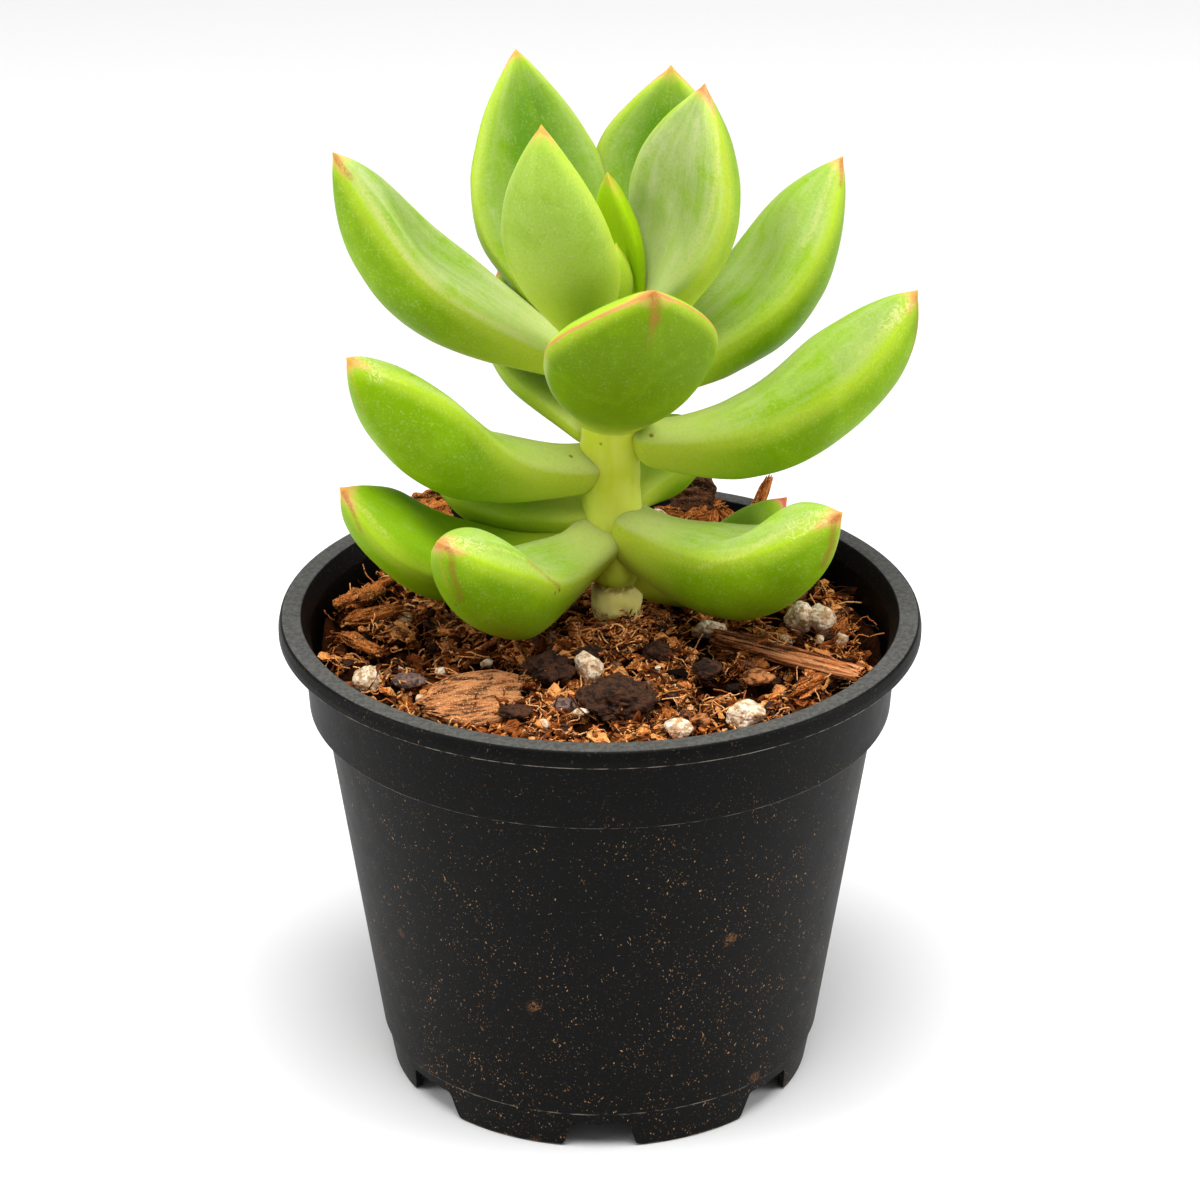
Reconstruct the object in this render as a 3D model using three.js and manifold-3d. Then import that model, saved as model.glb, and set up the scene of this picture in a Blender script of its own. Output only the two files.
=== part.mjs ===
import * as THREE from 'three';
import { mergeVertices } from 'three/addons/utils/BufferGeometryUtils.js';
import Module from 'manifold-3d';

// A young coppertone stonecrop in a black plastic nursery pot.
// Millimetres, +Z up. The origin is on the pot's axis, at the height of its feet.
// The front of the plant looks along -Y, and +X is to its right.

// Pot: a 9 cm nursery pot with a flat rim, a straight collar and seven feet.
const POT_HEIGHT = 70;
const RIM_RADIUS = 45;
const RIM_DEPTH = 2.5;
const RIM_INNER_RADIUS = 42;
const RIM_ROUND = 0.5;
const RIM_BULGE = 0.3;
const COLLAR_RADIUS = 41.9;
const COLLAR_FOOT_RADIUS = 41.1;
const COLLAR_FOOT_HEIGHT = 56.4;
const BODY_TOP_RADIUS = 39.1;
const BODY_FOOT_RADIUS = 31.6;
const LEDGE_HEIGHT = 6;
const LEDGE_WIDTH = 0.4;
const LEDGE_ROUND = 0.3;
const FOOT_RADIUS = 30.1;
const WALL = 1.1;
const FLOOR_UNDERSIDE = 3.8;
const FLOOR_TOP = 5;
const FLOOR_ROUND = 1;
const FOOT_COUNT = 7;
const NOTCH_TOP_WIDTH = 8.2;
const NOTCH_FOOT_WIDTH = 10.4;
const NOTCH_HEIGHT = 4.3;
const NOTCH_FLARE = 1.4;
const DRAIN_REACH = 4.5;
const POT_SEGMENTS = 70;

// Soil: coarse bark and coir, heaped a little towards the back.
const SOIL_LEVEL = 64;
const SOIL_BACK_SLOPE = 0.045;
const SOIL_SWELL = 0.7;
const SOIL_CRUMB = 0.45;
const SOIL_RINGS = 11;
const SOIL_SEGMENTS = 42;

// Stem: upright, a little behind the pot's axis, with a callused foot. Its sections
// are heights and radii.
const STEM_Y = 5;
const STEM_TOP_X = 1.5;
const STEM_FOOT_X = 2.5;
const STEM_STRAIGHT_HEIGHT = 90;
const STEM_FOOT_HEIGHT = 40;
const STEM_TIP_HEIGHT = 116.2;
const STEM_SECTIONS = [
  [42, 1.2], [50, 1.8], [60, 2.2], [64, 2.4], [66.4, 3.4], [69, 3.8], [70.8, 3.5], [72, 2.9], [73.4, 3.5],
  [80, 3.9], [92, 4.1], [102, 3.9], [108, 3.5], [112.5, 2.8], [115.2, 1.6],
];
const STEM_SEGMENTS = 20;
const LEAF_ROOT_RADIUS = 3;
const LEAF_ROOT_DEPTH = 2.6;

// Clearance between pieces that touch.
const GAP = 0.3;

// Leaves, with heights above the pot's rim. A leaf leaves the stem at an azimuth,
// 0 to the right and 90 to the back, and climbs from riseFoot to riseTip degrees
// above the level; bend above 1 keeps the turn for the tip. sway turns its course
// sideways and roll turns its face, both in degrees, and twist is the extra roll at
// its foot. widest and deepest say how far along it is widest and deepest. neck and
// neckDepth are the shares of its width and depth left at the stem. full is 1 where
// the upper face swells out towards the tip, from swellFrom on, and 0 where it stays
// a channel. plump is 1 where the foot is round. taper near 0.5 is a blunt end, and
// blunt is how fast the half width can grow from the tip.
const LOW = { bend: 1, neck: 0.42, neckDepth: 0.58, deepest: 0.5, full: 1, taper: 0.55, twist: 0,
  blunt: 1.5, plump: 0.8, swellFrom: 0.42 };
const MIDDLE = { bend: 0.85, neck: 0.42, neckDepth: 0.45, deepest: 0.52, full: 0.8, taper: 0.6, twist: 0,
  blunt: 1.5, plump: 0.5, swellFrom: 0.42 };
const YOUNG = { bend: 1, neck: 0.32, neckDepth: 0.55, deepest: 0.5, full: 0.3, taper: 0.55, twist: 0,
  blunt: 1.5, plump: 0, swellFrom: 0.42 };

const LEAVES = [
  { name: 'leaf_front', ...MIDDLE, height: 29, azimuth: 271, riseFoot: 33, riseTip: 60, bend: 0.7,
    length: 35, width: 23.8, depth: 8.5, roll: 5, sway: 28, widest: 0.65, blunt: 2.4 },
  { name: 'leaf_crown_front_left', ...YOUNG, height: 39.5, azimuth: 236, riseFoot: 54, riseTip: 84,
    length: 37.5, width: 16, depth: 7.5, roll: -13, sway: -2, widest: 0.49 },
  { name: 'leaf_crown_right', ...YOUNG, height: 39.5, azimuth: 343, riseFoot: 69, riseTip: 80, bend: 0.85,
    length: 38.5, width: 19.5, depth: 10, roll: -52, twist: 20, sway: 10, widest: 0.5, taper: 0.7 },
  { name: 'leaf_crown_left', ...YOUNG, height: 36, azimuth: 128, riseFoot: 50, riseTip: 73, bend: 1.1,
    length: 44.1, width: 21.6, depth: 8.5, roll: 4, sway: -12, widest: 0.47 },
  { name: 'leaf_crown_back', ...YOUNG, height: 38, azimuth: 65.5, riseFoot: 34, riseTip: 82, bend: 0.9,
    length: 39.5, width: 19, depth: 7, roll: -10, sway: 8, widest: 0.65 },
  { name: 'leaf_bud_right', ...YOUNG, height: 42.5, azimuth: 24, riseFoot: 103, riseTip: 97,
    length: 20.7, width: 9.4, depth: 3.4, roll: -8, sway: 6, widest: 0.5, neck: 0.75 },
  { name: 'leaf_bud_left', ...YOUNG, height: 43.5, azimuth: 300, riseFoot: 93, riseTip: 90,
    length: 10.5, width: 5.5, depth: 2.6, roll: 0, sway: 0, widest: 0.45, neck: 0.6 },
  { name: 'leaf_upper_left', ...MIDDLE, height: 35.5, azimuth: 178, riseFoot: 23, riseTip: 57, bend: 0.9,
    length: 46.5, width: 12, depth: 12, roll: 12, sway: 4, widest: 0.5, neckDepth: 0.35, taper: 0.75,
    swellFrom: 0.55 },
  { name: 'leaf_upper_right', ...MIDDLE, height: 33, azimuth: 19, riseFoot: 12, riseTip: 60, bend: 0.68,
    length: 43, width: 16.5, depth: 11.2, roll: -4, sway: 9, widest: 0.53, taper: 0.7, full: 1 },
  { name: 'leaf_upper_back', ...MIDDLE, height: 30, azimuth: 95, riseFoot: 4, riseTip: 50,
    length: 32, width: 14.5, depth: 9, roll: -6, sway: -2, widest: 0.55 },
  { name: 'leaf_middle_right', ...MIDDLE, height: 24.8, azimuth: -14, riseFoot: -2, riseTip: 56, bend: 0.9,
    length: 46.8, width: 13.5, depth: 12, roll: 1, sway: 28, widest: 0.52, deepest: 0.55, full: 1, neck: 0.5,
    neckDepth: 0.42, plump: 1, swellFrom: 0.25 },
  { name: 'leaf_middle_back_left', ...MIDDLE, height: 25, azimuth: 129, riseFoot: 18, riseTip: 62, bend: 1,
    length: 28, width: 15, depth: 6.5, roll: 2, sway: 5, widest: 0.55, neckDepth: 0.6 },
  { name: 'leaf_middle_left', ...MIDDLE, height: 20.5, azimuth: 193, riseFoot: -2, riseTip: 54, bend: 0.75,
    length: 42, width: 14.5, depth: 10, roll: -40, twist: 50, sway: 16, widest: 0.58, full: 1, neck: 0.38,
    neckDepth: 0.56, plump: 1 },
  { name: 'leaf_low_right', ...LOW, height: 11.8, azimuth: 331, riseFoot: -18, riseTip: 47,
    length: 36, width: 16, depth: 12.5, roll: 9, sway: -3, widest: 0.56, full: 0.85 },
  { name: 'leaf_low_front_left', ...LOW, height: 10, azimuth: 229, riseFoot: -21, riseTip: 50, bend: 0.9,
    length: 35.5, width: 14.5, depth: 11.7, roll: -12, twist: 36, sway: -4, widest: 0.66 },
  { name: 'leaf_low_left', ...LOW, height: 8.8, azimuth: 193, riseFoot: -23, riseTip: 51, bend: 0.8,
    length: 40.5, width: 15, depth: 9.6, roll: 16, sway: 6, widest: 0.68 },
  { name: 'leaf_low_back_right', ...LOW, height: 14, azimuth: 65, riseFoot: 14, riseTip: 0,
    length: 25, width: 13, depth: 8, roll: -3, sway: 0, widest: 0.55 },
  { name: 'leaf_low_back_left', ...LOW, height: 12.5, azimuth: 164, riseFoot: -5, riseTip: 43,
    length: 28, width: 13, depth: 8, roll: 15, sway: -3, widest: 0.55 },
  { name: 'leaf_lowest_right', ...LOW, height: 4, azimuth: 36, riseFoot: -32, riseTip: 45,
    length: 29.5, width: 13.5, depth: 8, roll: 9, sway: -3, widest: 0.58 },
];
const LEAF_SIDES = 12;
const LEAF_STEPS = 12;
const TIP_CROWDING = 1.4;
const TIP_CREASE = 0.5;
const CREASE_START = 0.6;
const SWELL_REACH = 0.43;
const CHANNEL = 0.26;
const SLOPE_OVER = 1.5;
const SLOPE_UNDER = 0.9;

// Bark pieces on the soil: place, the height of their middle over it, turn, lean and
// tilt in degrees, and real size.
const BARK = [
  { name: 'bark_chip_front', x: -17.5, y: -17.5, lift: 1.2, turn: 22, lean: 30, tilt: 4,
    length: 16, width: 9, thickness: 2, seed: 3, colour: 0x9a6040 },
  { name: 'bark_splinter_right', x: 26, y: -6.3, lift: 0.9, turn: -31, lean: 12, tilt: 0,
    length: 24.5, width: 2.6, thickness: 1.8, seed: 8, colour: 0x7d452c },
  { name: 'bark_chip_left', x: -34.5, y: 10.5, lift: 1.6, turn: 70, lean: -24, tilt: 10,
    length: 9, width: 6, thickness: 2, seed: 5, colour: 0x8a5138 },
  { name: 'bark_chip_rear', x: 13.5, y: 33.8, lift: 3.4, turn: -20, lean: 68, tilt: 5,
    length: 7.4, width: 10.5, thickness: 2.4, seed: 12, colour: 0x3a241b },
  { name: 'bark_chip_rear_left', x: -23, y: 30.5, lift: 2.8, turn: 30, lean: 55, tilt: 8,
    length: 7, width: 8.5, thickness: 2.2, seed: 21, colour: 0x5b2f26 },
  { name: 'bark_spike_rear', x: 22.2, y: 30.8, lift: 3.6, turn: 100, lean: 8, tilt: -58,
    length: 10.5, width: 3, thickness: 1.4, seed: 30, colour: 0x7a3f26 },
];
const BARK_CORNERS = 12;
const BARK_RAGGEDNESS = 0.12;

// Rounded lumps on the soil: two dark bark nuggets, then the perlite grains.
const LUMPS = [
  { name: 'bark_nugget_centre', x: -7, y: -9.3, lift: 1.2, size: [6.6, 5.6, 5.2], seed: 2, colour: 0x2e211c },
  { name: 'bark_nugget_front', x: 2.2, y: -18.6, lift: 1, size: [9.2, 7.6, 5.6], seed: 7, colour: 0x2a1f1b },
  { name: 'perlite_centre', x: -1.7, y: -9.4, lift: 1.6, size: [4, 3.6, 4.8], seed: 11, colour: 0xc9c4b4 },
  { name: 'perlite_left', x: -32.2, y: -11, lift: 1.1, size: [3.9, 3.8, 3.6], seed: 13, colour: 0xcdbfa2 },
  { name: 'perlite_front_right', x: 19.9, y: -22.8, lift: 1.3, size: [5.1, 4.6, 4], seed: 17,
    colour: 0xcfc0ac },
  { name: 'perlite_front', x: 10.6, y: -25.2, lift: 1, size: [3.6, 3.2, 2.8], seed: 19, colour: 0xcbb9a2 },
  { name: 'perlite_right_a', x: 27.9, y: 3.9, lift: 1.8, size: [3.4, 3.8, 4.6], seed: 23, colour: 0xcdc6b2 },
  { name: 'perlite_right_b', x: 31.9, y: 3.4, lift: 1.8, size: [3.4, 3.8, 4.6], seed: 29, colour: 0xcdc3aa },
  { name: 'perlite_splinter', x: 15.6, y: 3.8, lift: 1.2, size: [4.2, 3, 2.9], seed: 31, colour: 0xb0ab8c },
  { name: 'perlite_rear', x: 8.6, y: 30.4, lift: 1.4, size: [4.2, 3.6, 4], seed: 37, colour: 0xc6bda6 },
];

const LUMP_ROUGHNESS = 0.09;

const wasm = await Module();
wasm.setup();

const radians = THREE.MathUtils.degToRad;

// Repeatable random numbers between 0 and 1.
function randomSource(seed) {
  let state = seed * 7919 + 17;
  return () => {
    state = (state * 16807) % 2147483647;
    return state / 2147483647;
  };
}

// Closed geometry to solid, and back again.
function solidOf(geometry) {
  const bare = geometry.clone();
  bare.deleteAttribute('normal');
  bare.deleteAttribute('uv');
  const merged = mergeVertices(bare, 1e-4);
  return new wasm.Manifold(new wasm.Mesh({
    numProp: 3,
    vertProperties: new Float32Array(merged.attributes.position.array),
    triVerts: new Uint32Array(merged.index.array),
  }));
}

function geometryOf(solid) {
  const mesh = solid.getMesh();
  const geometry = new THREE.BufferGeometry();
  geometry.setAttribute('position', new THREE.BufferAttribute(new Float32Array(mesh.vertProperties), 3));
  geometry.setIndex(new THREE.BufferAttribute(new Uint32Array(mesh.triVerts), 1));
  geometry.computeVertexNormals();
  return geometry;
}

// The largest body of a cut solid, so that no loose scrap stays.
function largestBody(solid) {
  const bodies = solid.decompose();
  return bodies.reduce((best, body) => (body.volume() > best.volume() ? body : best));
}

// A closed skin over rings of points that all run the same way round.
function skinOver(rings, startPoint, endPoint) {
  const sides = rings[0].length;
  const points = [startPoint, ...rings.flat(), endPoint];
  const last = points.length - 1;
  const at = (ring, side) => 1 + ring * sides + (side % sides);
  const faces = [];
  for (let side = 0; side < sides; side += 1) {
    faces.push(0, at(0, side + 1), at(0, side));
    for (let ring = 0; ring < rings.length - 1; ring += 1) {
      faces.push(at(ring, side), at(ring, side + 1), at(ring + 1, side + 1));
      faces.push(at(ring, side), at(ring + 1, side + 1), at(ring + 1, side));
    }
    faces.push(at(rings.length - 1, side), at(rings.length - 1, side + 1), last);
  }
  const geometry = new THREE.BufferGeometry().setFromPoints(points);
  geometry.setIndex(faces);
  geometry.computeVertexNormals();
  return geometry;
}

// Pot

function potProfile() {
  const footSlope = (BODY_FOOT_RADIUS - LEDGE_WIDTH - FOOT_RADIUS) / LEDGE_HEIGHT;
  const rimUnderside = POT_HEIGHT - RIM_DEPTH;
  const outside = [
    [FOOT_RADIUS, 0],
    [FOOT_RADIUS + footSlope * LEDGE_HEIGHT, LEDGE_HEIGHT],
    [BODY_FOOT_RADIUS, LEDGE_HEIGHT + LEDGE_ROUND],
    [BODY_TOP_RADIUS, COLLAR_FOOT_HEIGHT],
    [COLLAR_FOOT_RADIUS, COLLAR_FOOT_HEIGHT],
    [COLLAR_RADIUS, rimUnderside],
    [RIM_RADIUS, rimUnderside],
    [RIM_RADIUS + RIM_BULGE, rimUnderside + RIM_ROUND],
    [RIM_RADIUS, POT_HEIGHT - RIM_ROUND],
    [RIM_RADIUS - RIM_ROUND, POT_HEIGHT],
  ];
  const inside = [
    [RIM_INNER_RADIUS + RIM_ROUND, POT_HEIGHT],
    [RIM_INNER_RADIUS, POT_HEIGHT - RIM_ROUND],
    [COLLAR_RADIUS - WALL, rimUnderside],
    [COLLAR_FOOT_RADIUS - WALL, COLLAR_FOOT_HEIGHT + WALL],
    [BODY_TOP_RADIUS - WALL, COLLAR_FOOT_HEIGHT - WALL],
    [BODY_FOOT_RADIUS - WALL, FLOOR_TOP + FLOOR_ROUND],
    [BODY_FOOT_RADIUS - WALL - FLOOR_ROUND, FLOOR_TOP],
    [0, FLOOR_TOP],
    [0, FLOOR_UNDERSIDE],
    [FOOT_RADIUS + footSlope * FLOOR_UNDERSIDE - WALL, FLOOR_UNDERSIDE],
    [FOOT_RADIUS - WALL, 0],
    [FOOT_RADIUS, 0],
  ];
  return [...outside, ...inside].map(([radius, height]) => new THREE.Vector2(radius, height));
}

// One notch between two feet, which also opens the edge of the pot's floor as a drain.
function notchGeometry() {
  const top = NOTCH_TOP_WIDTH / 2;
  const foot = NOTCH_FOOT_WIDTH / 2;
  const shape = new THREE.Shape();
  shape.moveTo(-foot - NOTCH_FLARE, -1);
  shape.lineTo(-foot - NOTCH_FLARE, 0);
  shape.quadraticCurveTo(-foot, 0, -foot + 0.1, NOTCH_FLARE);
  shape.lineTo(-top, NOTCH_HEIGHT);
  shape.lineTo(top, NOTCH_HEIGHT);
  shape.lineTo(foot - 0.1, NOTCH_FLARE);
  shape.quadraticCurveTo(foot, 0, foot + NOTCH_FLARE, 0);
  shape.lineTo(foot + NOTCH_FLARE, -1);
  const reach = BODY_FOOT_RADIUS - FOOT_RADIUS + DRAIN_REACH + 1;
  const geometry = new THREE.ExtrudeGeometry(shape, { depth: reach, bevelEnabled: false, curveSegments: 4 });
  geometry.rotateX(Math.PI / 2);
  geometry.translate(0, -(FOOT_RADIUS - DRAIN_REACH), 0);
  return geometry;
}

function makePot() {
  const turned = new THREE.LatheGeometry(potProfile(), POT_SEGMENTS);
  turned.rotateX(Math.PI / 2);
  let pot = solidOf(turned);
  const notch = solidOf(notchGeometry());
  for (let foot = 0; foot < FOOT_COUNT; foot += 1) {
    pot = pot.subtract(notch.rotate([0, 0, (foot * 360) / FOOT_COUNT]));
  }
  return pot;
}

// Soil

function soilHeight(x, y) {
  const heap = SOIL_LEVEL + SOIL_BACK_SLOPE * y;
  const swell = Math.sin(0.21 * x + 1.3) * Math.cos(0.19 * y - 0.4);
  const crumbs = Math.sin(0.83 * x + 0.37 * y) + Math.cos(0.71 * y - 0.45 * x + 2);
  return heap + SOIL_SWELL * swell + SOIL_CRUMB * crumbs;
}

// Soil solid, with its top raised by lift.
function soilSolid(lift) {
  const sideGap = WALL + GAP;
  const reach = COLLAR_FOOT_RADIUS - sideGap;
  const side = [
    [BODY_FOOT_RADIUS - sideGap - FLOOR_ROUND, FLOOR_TOP + GAP],
    [BODY_FOOT_RADIUS - sideGap, FLOOR_TOP + FLOOR_ROUND + GAP],
    [BODY_TOP_RADIUS - sideGap, COLLAR_FOOT_HEIGHT - WALL - GAP],
    [reach, COLLAR_FOOT_HEIGHT + WALL],
  ];
  const circle = (radius, heightAt) => Array.from({ length: SOIL_SEGMENTS }, (_, step) => {
    const angle = (step / SOIL_SEGMENTS) * 2 * Math.PI;
    const x = radius * Math.cos(angle);
    const y = radius * Math.sin(angle);
    return new THREE.Vector3(x, y, heightAt(x, y));
  });
  const rings = side.map(([radius, height]) => circle(radius, () => height));
  for (let ring = SOIL_RINGS; ring > 0; ring -= 1) {
    rings.push(circle((reach * ring) / SOIL_RINGS, (x, y) => soilHeight(x, y) + lift));
  }
  const bottom = new THREE.Vector3(0, 0, FLOOR_TOP + GAP);
  const top = new THREE.Vector3(0, 0, soilHeight(0, 0) + lift);
  return solidOf(skinOver(rings, bottom, top));
}

// Stem

function stemX(height) {
  const drop = (STEM_STRAIGHT_HEIGHT - height) / (STEM_STRAIGHT_HEIGHT - SOIL_LEVEL);
  return STEM_TOP_X + (STEM_FOOT_X - STEM_TOP_X) * THREE.MathUtils.clamp(drop, 0, 1);
}

// The root stub in the soil, the callused foot, the green stem and its growing tip.
function stemSolid(spread) {
  const rings = STEM_SECTIONS.map(([height, radius]) => Array.from({ length: STEM_SEGMENTS }, (_, step) => {
    const angle = (step / STEM_SEGMENTS) * 2 * Math.PI;
    const reach = radius + spread;
    const x = stemX(height) + reach * Math.cos(angle);
    return new THREE.Vector3(x, STEM_Y + reach * Math.sin(angle), height);
  }));
  const foot = new THREE.Vector3(stemX(STEM_FOOT_HEIGHT), STEM_Y, STEM_FOOT_HEIGHT - spread);
  const tip = new THREE.Vector3(STEM_TOP_X, STEM_Y, STEM_TIP_HEIGHT + spread);
  return solidOf(skinOver(rings, foot, tip));
}

// Leaf

function widthShare(leaf, along) {
  if (along < leaf.widest) {
    const climb = Math.sin((Math.PI / 2) * (along / leaf.widest)) ** 1.6;
    return leaf.neck + (1 - leaf.neck) * climb;
  }
  return 1 - ((along - leaf.widest) / (1 - leaf.widest)) ** 1.9;
}

function depthShare(leaf, along) {
  if (along < leaf.deepest) {
    const climb = Math.sin((Math.PI / 2) * (along / leaf.deepest)) ** 1.2;
    return leaf.neckDepth + (1 - leaf.neckDepth) * climb;
  }
  return (1 - ((along - leaf.deepest) / (1 - leaf.deepest)) ** 2.6) ** leaf.taper;
}

// Points and directions along the middle of a leaf, from the stem to its tip.
function leafCourse(leaf, steps) {
  const finePerStep = 8;
  const height = POT_HEIGHT + leaf.height;
  const start = radians(leaf.azimuth);
  const point = new THREE.Vector3(stemX(height), STEM_Y, height);
  point.x += LEAF_ROOT_RADIUS * Math.cos(start);
  point.y += LEAF_ROOT_RADIUS * Math.sin(start);
  const directionAt = (along) => {
    const rise = radians(leaf.riseFoot + (leaf.riseTip - leaf.riseFoot) * along ** leaf.bend);
    const azimuth = radians(leaf.azimuth + leaf.sway * along);
    const level = Math.cos(rise);
    return new THREE.Vector3(level * Math.cos(azimuth), level * Math.sin(azimuth), Math.sin(rise));
  };
  const stationAt = (along) => {
    const forward = directionAt(along);
    const azimuth = radians(leaf.azimuth + leaf.sway * along);
    const level = new THREE.Vector3(Math.sin(azimuth), -Math.cos(azimuth), 0);
    const upright = level.clone().cross(forward);
    const roll = radians(leaf.roll + leaf.twist * (1 - THREE.MathUtils.smoothstep(along, 0, 0.7)));
    const right = level.clone().multiplyScalar(Math.cos(roll)).addScaledVector(upright, Math.sin(roll));
    const up = upright.multiplyScalar(Math.cos(roll)).addScaledVector(level, -Math.sin(roll));
    return { along, point: point.clone(), forward, right, up };
  };
  const course = [stationAt(0)];
  for (let step = 1; step <= steps; step += 1) {
    const before = course[step - 1].along;
    const along = 1 - (1 - step / steps) ** TIP_CROWDING;
    const stride = (along - before) / finePerStep;
    for (let fine = 0; fine < finePerStep; fine += 1) {
      point.addScaledVector(directionAt(before + (fine + 0.5) * stride), stride * leaf.length);
    }
    course.push(stationAt(along));
  }
  return course;
}

// The smaller of two sizes, with a soft change from one to the other.
function noMoreThan(size, limit) {
  return (Math.max(size, 1e-6) ** -4 + Math.max(limit, 1e-6) ** -4) ** -0.25;
}

// One section of a leaf: a channelled or swelling upper face and a deep, keeled
// underside, meeting in two margins and narrowing to a point at the tip.
function leafSection(leaf, station, spread) {
  const fromTip = (1 - station.along) * leaf.length;
  const openWidth = (leaf.width / 2) * widthShare(leaf, station.along);
  const halfWidth = noMoreThan(openWidth, leaf.blunt * fromTip) + spread;
  const depth = leaf.depth * depthShare(leaf, station.along);
  const swellEnd = leaf.swellFrom + SWELL_REACH;
  const swell = leaf.full * THREE.MathUtils.smoothstep(station.along, leaf.swellFrom, swellEnd);
  const crease = TIP_CREASE * THREE.MathUtils.smoothstep(station.along, CREASE_START, 1);
  const roundFoot = leaf.plump * (1 - THREE.MathUtils.smoothstep(station.along, 0.3, 0.65));
  const below = noMoreThan((0.84 - 0.22 * swell - 0.06 * roundFoot) * depth, SLOPE_UNDER * fromTip) + spread;
  const above = noMoreThan((0.3 + 0.24 * swell + 0.06 * roundFoot) * depth, SLOPE_OVER * fromTip) + spread;
  const channel = CHANNEL * (1 - swell) * (1 - 0.8 * roundFoot) * depth;
  return Array.from({ length: LEAF_SIDES }, (_, side) => {
    const angle = (-side / LEAF_SIDES) * 2 * Math.PI;
    const across = Math.cos(angle);
    const rise = Math.sin(angle);
    let height = above * rise - channel * rise ** 4;
    if (rise < 0) {
      height = below * ((1 - crease) * rise - crease * (1 - Math.abs(across) ** 1.3));
    }
    return station.point.clone()
      .addScaledVector(station.right, halfWidth * across)
      .addScaledVector(station.up, height);
  });
}

function leafSolid(leaf, spread) {
  const course = leafCourse(leaf, LEAF_STEPS);
  const tip = course[course.length - 1];
  const rootShift = course[0].forward.clone().multiplyScalar(-LEAF_ROOT_DEPTH);
  const root = { ...course[0], point: course[0].point.clone().add(rootShift) };
  const stations = [root, ...course.slice(0, spread > 0 ? course.length : -1)];
  const rings = stations.map((station) => leafSection(leaf, station, spread));
  const end = tip.point.clone().addScaledVector(tip.forward, 1.5 * spread);
  return solidOf(skinOver(rings, root.point, end));
}

// Bark and perlite

function barkSolid(piece) {
  const random = randomSource(piece.seed);
  const outline = Array.from({ length: BARK_CORNERS }, (_, corner) => {
    const angle = (corner / BARK_CORNERS) * 2 * Math.PI;
    const reach = 1 + BARK_RAGGEDNESS * (2 * random() - 1);
    const squared = Math.sign(Math.cos(angle)) * Math.abs(Math.cos(angle)) ** 0.7;
    const x = (piece.length / 2) * squared * reach;
    return new THREE.Vector2(x, (piece.width / 2) * Math.sin(angle) * reach);
  });
  const shape = new THREE.Shape(outline);
  const slab = new THREE.ExtrudeGeometry(shape, { depth: piece.thickness, bevelEnabled: false });
  slab.translate(0, 0, -piece.thickness / 2);
  slab.rotateY(radians(piece.tilt));
  slab.rotateX(radians(piece.lean));
  slab.rotateZ(radians(piece.turn));
  slab.translate(piece.x, piece.y, soilHeight(piece.x, piece.y) + piece.lift);
  return solidOf(slab);
}

function lumpSolid(piece) {
  const ball = new THREE.IcosahedronGeometry(0.5, 1);
  const place = ball.attributes.position;
  const phase = randomSource(piece.seed);
  const shifts = [phase() * 6, phase() * 6, phase() * 6];
  for (let index = 0; index < place.count; index += 1) {
    const point = new THREE.Vector3().fromBufferAttribute(place, index);
    const waves = [point.x, point.y, point.z].map((value, axis) => Math.sin(7.5 * value + shifts[axis]));
    point.multiplyScalar(1 + LUMP_ROUGHNESS * (waves[0] + waves[1] + waves[2]));
    place.setXYZ(index, point.x, point.y, point.z);
  }
  ball.scale(...piece.size);
  ball.translate(piece.x, piece.y, soilHeight(piece.x, piece.y) + piece.lift);
  return solidOf(ball);
}

// Assembly

const plasticBlack = { color: 0x1d1d1e, roughness: 0.55, metalness: 0 };
const soilBrown = { color: 0x4a2c1d, roughness: 0.95, metalness: 0 };
const stemGreen = { color: 0xb3c95c, roughness: 0.5, metalness: 0 };
const leafGreen = { color: 0x8fb83a, roughness: 0.45, metalness: 0 };

const plant = new THREE.Group();

function addPiece(name, solid, finish) {
  const mesh = new THREE.Mesh(geometryOf(solid), new THREE.MeshStandardMaterial(finish));
  mesh.name = name;
  plant.add(mesh);
}

addPiece('pot', makePot(), plasticBlack);

const stemClear = stemSolid(GAP);
const soilClear = soilSolid(GAP);
addPiece('soil', soilSolid(0).subtract(stemClear), soilBrown);
addPiece('stem', stemSolid(0), stemGreen);

// Leaves press together where they crowd the stem, so each one is cut clear of the
// stem, of the soil that it lies on and of the leaves listed before it.
let taken = stemClear.add(soilClear);
for (const leaf of LEAVES) {
  addPiece(leaf.name, largestBody(leafSolid(leaf, 0).subtract(taken)), leafGreen);
  taken = taken.add(leafSolid(leaf, GAP));
}

for (const piece of BARK) {
  const bark = largestBody(barkSolid(piece).subtract(soilClear));
  addPiece(piece.name, bark, { color: piece.colour, roughness: 0.9, metalness: 0 });
}
for (const piece of LUMPS) {
  const lump = largestBody(lumpSolid(piece).subtract(soilClear));
  addPiece(piece.name, lump, { color: piece.colour, roughness: 0.9, metalness: 0 });
}

export default plant;
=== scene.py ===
import math

import bmesh
import bpy
import numpy as np
from mathutils import Matrix, Vector, noise


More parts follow.
